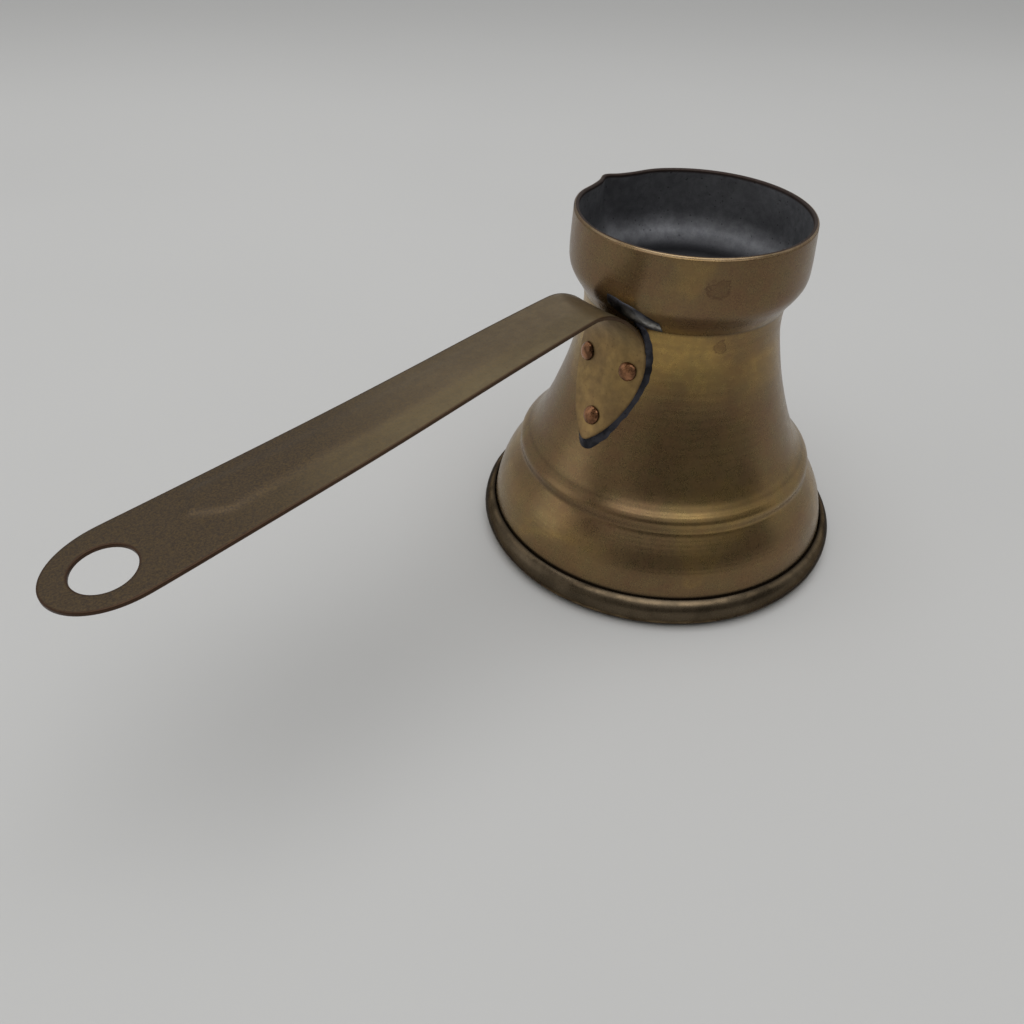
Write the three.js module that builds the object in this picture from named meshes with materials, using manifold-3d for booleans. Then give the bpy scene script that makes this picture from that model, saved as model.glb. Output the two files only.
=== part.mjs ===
// Long-handled coffee pot of spun and tinned brass, in millimetres, +Z up.
// The origin is the centre of the base's underside. The handle runs along +X and the pouring
// lip points along -Y, so a right hand on the handle pours to its left.
import * as THREE from 'three';
import { mergeVertices } from 'three/addons/utils/BufferGeometryUtils.js';
import Module from 'manifold-3d';

// ---------------------------------------------------------------- driving dimensions

const SHEET = 1.0; // wall of the spun body and of the base disc
const STRAP = 0.7; // thickness of the handle strap
const GAP = 0.3; // clearance between pieces that touch on the real pot
const AROUND = 48; // facets round a turned piece
const CUTTER_LENGTH = 12; // long enough to pass right through a wall or the strap

const RIM_Z = 73.5; // overall height
const RIM_R = 23.2; // outer radius of the mouth
const WALL_R = 37.2; // outer radius of the body where it enters the hem
const HEM_R = 39.75; // outer radius of the rolled hem, the widest part
const HEM_Z = 6.4; // top of the rolled hem
const FOOT_R = 38.15; // outer radius of the body's foot, folded out inside the hem
const FOOT_HEIGHT = 2.3; // from the base disc to the top of that foot
const LIP_ROUNDING = 0.25; // of the mouth's edge
const SEAM_LEG = 1.8; // size of the solder bead inside the base

const SPOUT_ANGLE = -Math.PI / 2; // direction of the pouring lip
const SPOUT_OUT = 1.2; // how far its tip stands out from the round mouth
const SPOUT_IN = 0.62; // how far the two flanks are pinched in
const SPOUT_FROM_Z = 58; // the pinch fades out here, under the collar
const SPOUT_FULL_Z = 70; // and has its full depth from here up
const SPOUT_TIP_WIDTH = 0.085; // in radians
const SPOUT_FLANK_ANGLE = 0.27;
const SPOUT_FLANK_WIDTH = 0.16;
const CROWDING = 0.55; // how strongly the facets crowd towards the spout

const LEAF_TIP_Z = 31.4; // lowest point of the handle's riveted leaf
const LEAF_TOP_Z = 52; // the strap leaves the wall here
const LEAF_HALF = 8.35; // widest half-width of the leaf
const STRAP_HALF = [6.2, 9.2]; // half-width of the strap at its bend and at its round end
const REACH = 130.7; // tip of the handle, from the pot's axis
const END_LENGTH = 12; // length of the half-ellipse that ends the strap
const TIP_HALF = 0.5; // half-width of the flat at its very tip
const HOLE_X = 121.8; // centre of the hanging hole
const HOLE_ACROSS = 0.3; // it was punched a little off the strap's middle
const HOLE_R = 4.85;
const PANEL_HEIGHT = 0.3; // stiffening panel pressed up out of the strap
const PANEL_X = [40, 109];
const PANEL_HALF = 5.4;
const PANEL_EDGE = 1.6; // width of the panel's sloping sides

const RIVETS = [
  { name: 'rivet_upper_left', across: -5.15, z: 47.7 },
  { name: 'rivet_upper_right', across: 5.15, z: 47.8 },
  { name: 'rivet_lower', across: 0.2, z: 36.7 },
];
const SHANK_R = 1.2;
const HEAD_R = 1.95;
const HEAD_H = 0.95;
const TAIL_R = 1.9;
const TAIL_H = 0.8;

// ---------------------------------------------------------------- materials

const metal = (color, roughness) => new THREE.MeshStandardMaterial({ color, roughness, metalness: 1 });
const BRASS_BODY = metal(0x8a6d3b, 0.38);
const BRASS_BASE = metal(0x6b5430, 0.42);
const BRASS_HANDLE = metal(0x66583c, 0.48);
const COPPER = metal(0x9a5a3c, 0.35);
const SOLDER = metal(0x5d5d5c, 0.45);

// ---------------------------------------------------------------- helpers

const wasm = await Module();
wasm.setup();

const v2 = (x, y) => new THREE.Vector2(x, y);
const smooth = (a, b, x) => THREE.MathUtils.smoothstep(x, a, b);

function welded(geometry) {
  const bare = geometry.clone();
  bare.deleteAttribute('normal');
  bare.deleteAttribute('uv');
  return mergeVertices(bare, 1e-4);
}

function toSolid(geometry) {
  const merged = welded(geometry);
  return new wasm.Manifold(new wasm.Mesh({
    numProp: 3,
    vertProperties: new Float32Array(merged.attributes.position.array),
    triVerts: new Uint32Array(merged.index.array),
  }));
}

function toGeometry(solid) {
  const mesh = solid.getMesh();
  const geometry = new THREE.BufferGeometry();
  geometry.setAttribute('position', new THREE.BufferAttribute(mesh.vertProperties, 3));
  geometry.setIndex(new THREE.BufferAttribute(mesh.triVerts, 1));
  return geometry;
}

// A closed (r, z) outline turned about the pot's axis. LatheGeometry turns about +Y.
function turned(outline, facets = AROUND) {
  return new THREE.LatheGeometry([...outline, outline[0]], facets).rotateX(Math.PI / 2);
}

// A closed body from a grid of vertex rings: rings[i] is one closed section, all alike in length.
function lofted(rings) {
  const count = rings[0].length;
  const position = rings.flat().flatMap((p) => [p.x, p.y, p.z]);
  const index = [];
  for (let i = 0; i + 1 < rings.length; i += 1) {
    for (let j = 0; j < count; j += 1) {
      const a = i * count + j;
      const b = i * count + ((j + 1) % count);
      index.push(a, b, b + count, a, b + count, a + count);
    }
  }
  const half = count / 2;
  for (const [start, flip] of [[0, true], [(rings.length - 1) * count, false]]) {
    for (let j = 0; j + 1 < half; j += 1) {
      const [a, b, c, d] = [j, j + 1, count - 2 - j, count - 1 - j].map((k) => start + k);
      index.push(...(flip ? [a, c, b, a, d, c] : [a, b, c, a, c, d]));
    }
  }
  const geometry = new THREE.BufferGeometry();
  geometry.setAttribute('position', new THREE.Float32BufferAttribute(position, 3));
  geometry.setIndex(index);
  return geometry;
}

// ---------------------------------------------------------------- the body's outer outline

// Three points of the rolled bead: its groove below, its crest, and its crease above.
const BEAD = [v2(31.6, 18.9), v2(31.8, 21.2), v2(30.0, 23.2)];

// From the hem up: lower bulge, bead, flared waist, neck, and the barrel-shaped collar.
const STRETCHES = [
  {
    through: [v2(WALL_R, 6.5), v2(36.75, 9), v2(35.9, 12), v2(34.5, 15), v2(32.6, 17.7), BEAD[0]],
    steps: 6,
  },
  { through: BEAD, steps: 4 },
  {
    through: [
      BEAD[2], v2(28.5, 25), v2(25.8, 30.8), v2(22.6, 40), v2(20.4, 49.5), v2(20.0, 54), v2(20.2, 57),
    ],
    steps: 8,
  },
  {
    through: [v2(20.2, 57), v2(21.3, 59), v2(22.6, 61), v2(23.4, 63), v2(23.55, 66), v2(RIM_R, RIM_Z)],
    steps: 7,
  },
];

function outerOutline(fineness = 1) {
  const points = [];
  for (const { through, steps } of STRETCHES) {
    const stretch = new THREE.SplineCurve(through).getSpacedPoints(steps * fineness);
    points.push(...(points.length ? stretch.slice(1) : stretch));
  }
  return points;
}

const FINE_OUTLINE = outerOutline(12);

// Outer radius of the wall and its outward normal at a height.
function wallAt(z) {
  const i = Math.max(1, FINE_OUTLINE.findIndex((p) => p.y >= z));
  const [low, high] = [FINE_OUTLINE[i - 1], FINE_OUTLINE[i]];
  const r = THREE.MathUtils.mapLinear(z, low.y, high.y, low.x, high.x);
  const normal = v2(high.y - low.y, low.x - high.x).normalize();
  return { r, normal };
}

// The same outline moved inwards by the sheet's thickness.
function innerOutline(outer) {
  return outer.map((p, i) => {
    const before = outer[Math.max(0, i - 1)];
    const after = outer[Math.min(outer.length - 1, i + 1)];
    const normal = v2(after.y - before.y, before.x - after.x).normalize();
    return v2(p.x - normal.x * SHEET, p.y - normal.y * SHEET);
  });
}

// A point on the wall, `off` outside its outer face, `across` millimetres round from the handle.
function onWall(across, z, off) {
  const { r, normal } = wallAt(z);
  const out = r + normal.x * off;
  const angle = across / r;
  return new THREE.Vector3(out * Math.cos(angle), out * Math.sin(angle), z + normal.y * off);
}

// ---------------------------------------------------------------- pot body

// Radial push of the pinched pouring lip at an angle from its middle, in radians.
function spoutPush(delta) {
  const tip = Math.exp(-((delta / SPOUT_TIP_WIDTH) ** 2));
  const flanks = Math.exp(-(((Math.abs(delta) - SPOUT_FLANK_ANGLE) / SPOUT_FLANK_WIDTH) ** 2));
  return SPOUT_OUT * tip - SPOUT_IN * flanks;
}

function pinchSpout(geometry) {
  const position = geometry.attributes.position;
  const p = new THREE.Vector3();
  for (let i = 0; i < position.count; i += 1) {
    p.fromBufferAttribute(position, i);
    const r = Math.hypot(p.x, p.y);
    // Facets crowd towards the spout, so that its narrow V has enough of them.
    const fromBack = Math.atan2(p.y, p.x) - SPOUT_ANGLE + Math.PI;
    const even = THREE.MathUtils.euclideanModulo(fromBack, 2 * Math.PI) - Math.PI;
    const delta = even - CROWDING * Math.sin(even);
    const push = spoutPush(delta) * smooth(SPOUT_FROM_Z, SPOUT_FULL_Z, p.z);
    const angle = SPOUT_ANGLE + delta;
    position.setXYZ(i, (r + push) * Math.cos(angle), (r + push) * Math.sin(angle), p.z);
  }
  return geometry;
}

function rivetPlacement({ across, z }) {
  const { r, normal } = wallAt(z);
  const angle = across / r;
  const out = new THREE.Vector3(normal.x * Math.cos(angle), normal.x * Math.sin(angle), normal.y);
  return { foot: onWall(across, z, 0), out };
}

// Turns a shape made along +Z so that it stands on the wall at a rivet.
function placeOnWall(geometry, rivet) {
  const { foot, out } = rivetPlacement(rivet);
  const turn = new THREE.Quaternion().setFromUnitVectors(new THREE.Vector3(0, 0, 1), out);
  return geometry.applyQuaternion(turn).translate(foot.x, foot.y, foot.z);
}

function drill(solid, rivet) {
  const radius = SHANK_R + GAP;
  const cutter = new THREE.CylinderGeometry(radius, radius, CUTTER_LENGTH, 20).rotateX(Math.PI / 2);
  return solid.subtract(toSolid(placeOnWall(cutter, rivet)));
}

function potBody() {
  const outer = outerOutline();
  const footEdge = 0.2; // the foot's lower edge stands this far outside the wall
  const outline = [
    v2(WALL_R - SHEET + footEdge, SHEET + GAP),
    v2(WALL_R + footEdge, SHEET + GAP),
    v2(FOOT_R, SHEET + FOOT_HEIGHT / 2),
    v2(FOOT_R, SHEET + FOOT_HEIGHT),
    v2(WALL_R, SHEET + FOOT_HEIGHT),
    ...outer.slice(0, -1),
    v2(RIM_R, RIM_Z - LIP_ROUNDING),
    v2(RIM_R - LIP_ROUNDING, RIM_Z),
    v2(RIM_R - SHEET + LIP_ROUNDING, RIM_Z),
    v2(RIM_R - SHEET, RIM_Z - LIP_ROUNDING),
    ...innerOutline(outer).slice(0, -1).reverse(),
    v2(WALL_R - SHEET, 2 * SHEET),
  ];
  let body = toSolid(pinchSpout(turned(outline)));
  for (const rivet of RIVETS) body = drill(body, rivet);
  return toGeometry(body);
}

// ---------------------------------------------------------------- base disc with its rolled hem

// The hem's section is a half ellipse, open towards the wall, and the disc is its lower end.
function baseDisc() {
  const centre = v2(WALL_R - 0.2, HEM_Z / 2);
  const wide = HEM_R - centre.x;
  const tall = HEM_Z / 2;
  const lip = WALL_R + GAP + 0.05; // where the hem's edge stops, just clear of the wall
  const halfEllipse = (a, b) => {
    const top = Math.acos((lip - centre.x) / a);
    return new THREE.EllipseCurve(centre.x, centre.y, a, b, -Math.PI / 2, top);
  };
  const outside = halfEllipse(wide, tall).getPoints(9);
  const inside = halfEllipse(wide - SHEET, tall - SHEET).getPoints(7).reverse();
  return turned([v2(0, 0), ...outside, ...inside, v2(0, SHEET)]);
}

// Bead of solder run round the inside corner, where the wall meets the base.
function baseSeamSolder() {
  const corner = v2(WALL_R - SHEET - 0.5, SHEET + GAP);
  const heel = v2(corner.x - SEAM_LEG, corner.y);
  const edge = 0.1; // thickness left at the bead's two edges
  const hollow = new THREE.EllipseCurve(
    heel.x, corner.y + SEAM_LEG, SEAM_LEG, SEAM_LEG, 0, -Math.PI / 2, true);
  const face = hollow.getPoints(4).map((p) => v2(Math.min(p.x, corner.x - edge), p.y + edge));
  return turned([corner, ...face, heel]);
}

// ---------------------------------------------------------------- handle

// The middle of the strap's thickness in the XZ plane, from the leaf's tip to the handle's end.
const BEND_START = v2(wallAt(LEAF_TOP_Z).r + GAP + STRAP / 2, LEAF_TOP_Z);
const BEND_TOP = v2(31.5, 62.45);
const BEND = new THREE.CubicBezierCurve(
  BEND_START, v2(BEND_START.x, 57.6), v2(26.2, BEND_TOP.y), BEND_TOP);
const RUN = new THREE.CubicBezierCurve(
  BEND_TOP, v2(36, BEND_TOP.y), v2(85, 54.5), v2(REACH, 50.3));

// Half-width of the leaf by height, from its pointed tip to where it becomes the strap.
const LEAF_SIDE = new THREE.SplineCurve([
  v2(LEAF_TIP_Z, 0.4), v2(34.3, 3.3), v2(37, 5.1), v2(40.1, 6.6), v2(43.2, 7.65),
  v2(47.8, LEAF_HALF), v2(LEAF_TOP_Z, 7.85),
]);

// The parameter at which a curve that runs steadily outwards in x reaches a given x.
function parameterAt(curve, x) {
  let [low, high] = [0, 1];
  for (let i = 0; i < 40; i += 1) {
    const middle = (low + high) / 2;
    if (curve.getPoint(middle).x < x) low = middle;
    else high = middle;
  }
  return (low + high) / 2;
}

function leafHalf(z) {
  return LEAF_SIDE.getPoint(parameterAt(LEAF_SIDE, z)).y;
}

function strapHalf(x) {
  const straight = THREE.MathUtils.mapLinear(x, BEND_TOP.x, REACH, ...STRAP_HALF);
  const round = (x - (REACH - END_LENGTH)) / END_LENGTH;
  const share = Math.sqrt(Math.max(0, 1 - round * round));
  return round > 0 ? Math.max(TIP_HALF, straight * share) : straight;
}

// How far the pressed panel raises the strap at x, and w across it.
function panel(x, w) {
  const [start, end] = PANEL_X;
  const along = smooth(start, start + 20, x) * (1 - smooth(end - 9, end, x));
  return PANEL_HEIGHT * along * (1 - smooth(PANEL_HALF - PANEL_EDGE, PANEL_HALF, Math.abs(w)));
}

const ACROSS = 8; // facets across the strap

// One section of the strap: along its upper or outer face, then back along the other one.
function strapSection(half, place) {
  const ring = [];
  for (const [face, order] of [[1, -1], [-1, 1]]) {
    for (let j = 0; j <= ACROSS; j += 1) {
      ring.push(place(order * half * (2 * j / ACROSS - 1), face * STRAP / 2));
    }
  }
  return ring;
}

function leafSection(z) {
  return strapSection(leafHalf(z), (w, up) => onWall(w, z, GAP + STRAP / 2 - up));
}

function bendSection(t) {
  const centre = BEND.getPoint(t);
  const tangent = BEND.getTangent(t);
  const half = THREE.MathUtils.lerp(leafHalf(LEAF_TOP_Z), STRAP_HALF[0], smooth(0, 0.6, t));
  const curl = (1 - smooth(0, 0.8, t)) / BEND_START.x; // the wall's curvature, fading out
  const flat = curl < 1e-6;
  return strapSection(half, (w, up) => {
    const angle = w * curl;
    const sag = flat ? 0 : (1 - Math.cos(angle)) / curl;
    const side = flat ? w : (Math.sin(angle) / curl) * (1 - up * curl);
    const lift = up * Math.cos(angle) + sag;
    return new THREE.Vector3(centre.x - tangent.y * lift, side, centre.y + tangent.x * lift);
  });
}

function runSection(t) {
  const centre = RUN.getPoint(t);
  const tangent = RUN.getTangent(t);
  return strapSection(strapHalf(centre.x), (w, up) => {
    const lift = up + panel(centre.x, w);
    return new THREE.Vector3(centre.x - tangent.y * lift, w, centre.y + tangent.x * lift);
  });
}

// Cutter for the hanging hole, square to the strap.
function holeCutter() {
  const t = parameterAt(RUN, HOLE_X);
  const centre = RUN.getPoint(t);
  const tangent = RUN.getTangent(t);
  return new THREE.CylinderGeometry(HOLE_R, HOLE_R, CUTTER_LENGTH, 32)
    .rotateX(Math.PI / 2)
    .rotateY(-Math.atan2(tangent.y, tangent.x))
    .translate(centre.x, HOLE_ACROSS, centre.y);
}

function handle() {
  const { lerp } = THREE.MathUtils;
  const roundStart = REACH - END_LENGTH;
  const [leafSteps, bendSteps, runSteps, endSteps] = [13, 12, 16, 8];
  const rings = [];
  for (let i = 0; i < leafSteps; i += 1) {
    rings.push(leafSection(lerp(LEAF_TIP_Z, LEAF_TOP_Z, i / leafSteps)));
  }
  for (let i = 0; i < bendSteps; i += 1) {
    rings.push(bendSection(i / bendSteps));
  }
  for (let i = 0; i < runSteps; i += 1) {
    const x = lerp(BEND_TOP.x, roundStart, i / runSteps);
    rings.push(runSection(parameterAt(RUN, x)));
  }
  for (let i = 0; i <= endSteps; i += 1) {
    const x = roundStart + END_LENGTH * Math.sin((Math.PI / 2) * (i / endSteps));
    rings.push(runSection(parameterAt(RUN, x)));
  }
  let solid = toSolid(lofted(rings));
  for (const rivet of RIVETS) solid = drill(solid, rivet);
  return toGeometry(solid.subtract(toSolid(holeCutter())));
}

// ---------------------------------------------------------------- rivets

function rivetGeometry(rivet) {
  const seat = GAP + STRAP + GAP; // underside of the head, outside the wall
  const tail = -(SHEET + GAP); // upper side of the peened tail, inside the wall
  const dome = new THREE.EllipseCurve(0, seat, HEAD_R, HEAD_H, 0, Math.PI / 2).getPoints(4);
  const peen = new THREE.EllipseCurve(0, tail, TAIL_R, TAIL_H, -Math.PI / 2, 0).getPoints(3);
  const outline = [...peen, v2(SHANK_R, tail), v2(SHANK_R, seat), ...dome];
  return placeOnWall(new THREE.LatheGeometry(outline, 18).rotateX(Math.PI / 2), rivet);
}

// ---------------------------------------------------------------- solder at the handle

// Fillet of solder along the leaf's edge: down the left side, round the tip, up the right side.
// Each station gives a height and how far the fillet reaches beyond the leaf's edge.
const FILLET = [
  { side: -1, z: 51.5, reach: 0.6 },
  { side: -1, z: 46, reach: 0.6 },
  { side: -1, z: 42, reach: 0.6 },
  { side: -1, z: 38.5, reach: 0.7 },
  { side: -1, z: 35.5, reach: 0.9 },
  { side: -1, z: 33, reach: 1.1 },
  { side: 0, z: LEAF_TIP_Z, reach: 1.5 },
  { side: 1, z: 33, reach: 2.3 },
  { side: 1, z: 35.5, reach: 1.6 },
  { side: 1, z: 38.5, reach: 1.2 },
  { side: 1, z: 42, reach: 0.8 },
  { side: 1, z: 46, reach: 0.9 },
  { side: 1, z: 51.5, reach: 1.2 },
];
const FILLET_HEIGHT = 0.9;

function leafEdge({ side, z }) {
  return side === 0 ? v2(0, z - 0.2) : v2(side * leafHalf(z), z);
}

function handleSolder() {
  const edge = FILLET.map(leafEdge);
  const rings = FILLET.map(({ reach }, i) => {
    const before = edge[Math.max(0, i - 1)];
    const after = edge[Math.min(edge.length - 1, i + 1)];
    const away = v2(before.y - after.y, after.x - before.x).normalize().negate();
    away.y = -Math.abs(away.y);
    const at = (out, off) => onWall(edge[i].x + away.x * out, edge[i].y + away.y * out, off);
    const inner = GAP + 0.05;
    return [
      at(reach * 0.5 + inner, GAP + FILLET_HEIGHT * 0.55), at(reach + inner, GAP),
      at(inner, GAP), at(inner, GAP + FILLET_HEIGHT),
    ];
  });
  return lofted(rings);
}

// Smear of solder between the back of the strap and the shoulder under the collar.
const SMEAR = { from: 4.3, to: 10.3, low: 56.7, high: 62.5, height: 0.7, edge: 0.15, fall: 0.6 };

function collarSolder() {
  const columns = 6;
  const rows = 6;
  const rings = [];
  for (let i = 0; i <= columns; i += 1) {
    const span = i / columns;
    const across = THREE.MathUtils.lerp(SMEAR.from, SMEAR.to, span);
    const middle = (SMEAR.high + SMEAR.low) / 2 - SMEAR.fall * span;
    const taper = 0.35 + 0.65 * Math.sin(Math.PI * (0.2 + 0.65 * span));
    const half = taper * (SMEAR.high - SMEAR.low) / 2;
    const crest = SMEAR.height * Math.sin(Math.PI * (0.25 + 0.6 * span));
    const under = [];
    const over = [];
    for (let j = 0; j <= rows; j += 1) {
      const t = 2 * (j / rows) - 1;
      const z = middle + half * t;
      under.push(onWall(across, z, GAP));
      over.push(onWall(across, z, GAP + SMEAR.edge + crest * (1 - t * t)));
    }
    rings.push([...under, ...over.reverse()]);
  }
  return lofted(rings);
}

// ---------------------------------------------------------------- assembly

function piece(name, geometry, material) {
  const mesh = new THREE.Mesh(geometry, material);
  mesh.name = name;
  return mesh;
}

const coffeePot = new THREE.Group();
coffeePot.add(
  piece('pot_body', potBody(), BRASS_BODY),
  piece('base_disc', baseDisc(), BRASS_BASE),
  piece('base_seam_solder', baseSeamSolder(), SOLDER),
  piece('handle', handle(), BRASS_HANDLE),
  ...RIVETS.map((rivet) => piece(rivet.name, rivetGeometry(rivet), COPPER)),
  piece('handle_solder', handleSolder(), SOLDER),
  piece('collar_solder', collarSolder(), SOLDER),
);

export default coffeePot;
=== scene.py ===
"""Long-handled coffee pot of spun and tinned brass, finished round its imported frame.

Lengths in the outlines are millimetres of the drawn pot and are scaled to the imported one; meshes
are in metres. +Z is up, the handle runs along +X and the pouring lip points along -Y.
"""

import math

import bpy
import numpy as np
from mathutils import Matrix, Vector, noise
from mathutils.geometry import delaunay_2d_cdt


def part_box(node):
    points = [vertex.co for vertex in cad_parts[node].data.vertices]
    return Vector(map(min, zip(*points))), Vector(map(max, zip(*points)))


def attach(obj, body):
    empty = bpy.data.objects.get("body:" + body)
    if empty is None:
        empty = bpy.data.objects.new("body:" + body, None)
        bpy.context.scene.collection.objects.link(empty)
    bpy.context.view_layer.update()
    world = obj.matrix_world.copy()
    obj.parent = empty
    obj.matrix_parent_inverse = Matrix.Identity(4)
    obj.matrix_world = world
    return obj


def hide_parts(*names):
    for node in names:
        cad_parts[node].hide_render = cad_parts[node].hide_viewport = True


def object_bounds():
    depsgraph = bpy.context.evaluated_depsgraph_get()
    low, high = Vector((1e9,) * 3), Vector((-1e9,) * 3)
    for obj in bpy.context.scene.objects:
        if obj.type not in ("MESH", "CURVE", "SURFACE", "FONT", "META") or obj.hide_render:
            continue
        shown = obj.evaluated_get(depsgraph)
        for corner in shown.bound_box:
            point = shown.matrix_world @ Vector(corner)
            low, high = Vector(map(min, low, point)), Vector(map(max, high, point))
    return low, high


bl_info = {
    "name": "Brass Coffee Pot",
    "version": (1, 0, 0),
    "blender": (4, 5, 0),
    "location": "3D View > Sidebar > Coffee Pot",
    "description": "Makes a long-handled coffee pot of spun brass, its handle, rivets and solder",
    "category": "Add Mesh",
}

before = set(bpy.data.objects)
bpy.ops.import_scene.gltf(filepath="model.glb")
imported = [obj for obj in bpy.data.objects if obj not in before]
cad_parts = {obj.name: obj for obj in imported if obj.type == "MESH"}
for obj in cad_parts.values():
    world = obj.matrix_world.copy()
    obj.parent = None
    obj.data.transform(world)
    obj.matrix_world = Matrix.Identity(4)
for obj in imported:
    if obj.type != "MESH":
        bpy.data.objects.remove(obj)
CAD_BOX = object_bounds()

# ---------------------------------------------------------------- the drawn pot, in millimetres

DRAWN_HEIGHT = 73.5
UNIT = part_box("pot_body")[1].z / DRAWN_HEIGHT  # metres for one drawn millimetre
SHEET = 1.0  # wall of the spun body and of the base
STRAP = 0.7  # thickness of the handle strap
RIM_R = 23.2  # outer radius of the mouth
WALL_R = 37.2  # outer radius of the body where it enters the hem
HEM_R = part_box("base_disc")[1].x / UNIT  # outer radius of the rolled hem
HEM_Z = 6.4  # top of the rolled hem
FOOT_R = 38.15  # outer radius of the body's foot, folded out inside the hem

# The wall from the hem to the rim: lower bulge, rolled bead, flared waist with neck, collar.
BULGE = [(WALL_R, 6.5), (36.75, 9), (35.9, 12), (34.5, 15), (32.6, 17.7), (31.6, 18.9)]
BEAD = [(31.6, 18.9), (31.8, 21.2), (30.0, 23.2)]
WAIST = [(30.0, 23.2), (28.5, 25), (25.8, 30.8), (22.6, 40), (20.4, 49.5), (20.0, 54), (20.2, 57)]
COLLAR = [(20.2, 57), (21.3, 59), (22.6, 61), (23.4, 63), (23.55, 66), (RIM_R, DRAWN_HEIGHT)]

SPOUT_Z = (58, 70)  # the pinch of the pouring lip starts here, and is full here
SPOUT_TIP_WIDTH = 0.085  # in radians, as the next two
SPOUT_FLANK_ANGLE = 0.27
SPOUT_FLANK_WIDTH = 0.16
LIP_ROUNDING = 0.34  # of the mouth's edge

LEAF_Z = (31.4, 52.0)  # lowest point of the riveted leaf, and where the strap leaves the wall
# The leaf's half-width at each height.
LEAF_SIDE = [(31.4, 0.4), (34.3, 3.3), (37, 5.1), (40.1, 6.6), (43.2, 7.65), (47.8, 8.35), (52, 7.85)]
LEAF_OFF = 0.65  # the middle of the leaf's thickness outside the wall
BEND_TOP = (31.5, 62.45)  # the highest point of the bend, out and up
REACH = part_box("handle")[1].x / UNIT  # tip of the handle, from the pot's axis
STRAP_HALF = (6.2, 9.2)  # half-width at the bend and at the round end
END_LENGTH = 12.0  # length of the half-ellipse that ends the strap
HOLE_X, HOLE_ACROSS = 121.8, 0.3  # centre of the hanging hole
# Each rivet's place, round from the handle and up.
RIVETS = {
    "rivet_upper_left": (-5.15, 47.7),
    "rivet_upper_right": (5.15, 47.8),
    "rivet_lower": (0.2, 36.7),
}
SHANK_R = 1.2
# Each dried stain's place, round from the handle and up, and its radius.
STAINS = [(21.2, 67.9, 1.7), (21.3, 54.4, 1.2)]

# ---------------------------------------------------------------- properties


class CoffeePotSizes(bpy.types.PropertyGroup):
    """Sizes that a maker would change without changing the frame."""

    facets: bpy.props.IntProperty(
        name="Facets", description="Facets round the pot", default=256, min=48)
    spout_reach: bpy.props.FloatProperty(
        name="Spout Reach", description="How far the pouring lip stands out",
        default=1.2 * UNIT, unit="LENGTH")
    spout_pinch: bpy.props.FloatProperty(
        name="Spout Pinch", description="How far its two flanks are pinched in",
        default=0.62 * UNIT, unit="LENGTH")
    wobble: bpy.props.FloatProperty(
        name="Wobble", description="How far the spun wall strays from round",
        default=0.1 * UNIT, unit="LENGTH")
    ripple: bpy.props.FloatProperty(
        name="Ripple", description="Height of the ridges that the spinning tool left",
        default=0.004 * UNIT, unit="LENGTH")
    panel_height: bpy.props.FloatProperty(
        name="Panel Height", description="Height of the panel pressed up out of the handle",
        default=0.28 * UNIT, unit="LENGTH")
    hole_radius: bpy.props.FloatProperty(
        name="Hanging Hole", description="Radius of the hole at the handle's end",
        default=4.85 * UNIT, unit="LENGTH")
    edge_radius: bpy.props.FloatProperty(
        name="Edge Radius", description="Rounding of the strap's edges",
        default=0.14 * UNIT, unit="LENGTH")
    head_radius: bpy.props.FloatProperty(
        name="Rivet Head", description="Radius of a rivet's head",
        default=1.9 * UNIT, unit="LENGTH")
    head_height: bpy.props.FloatProperty(
        name="Rivet Height", description="Height of a rivet's head above the leaf",
        default=1.0 * UNIT, unit="LENGTH")
    solder_height: bpy.props.FloatProperty(
        name="Solder Height", description="Thickness of the solder round the leaf",
        default=0.9 * UNIT, unit="LENGTH")


def colour(name, description, red, green, blue):
    """A linear colour property."""
    return bpy.props.FloatVectorProperty(
        name=name, description=description, default=(red, green, blue), subtype="COLOR",
        size=3, min=0.0, max=1.0)


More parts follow.
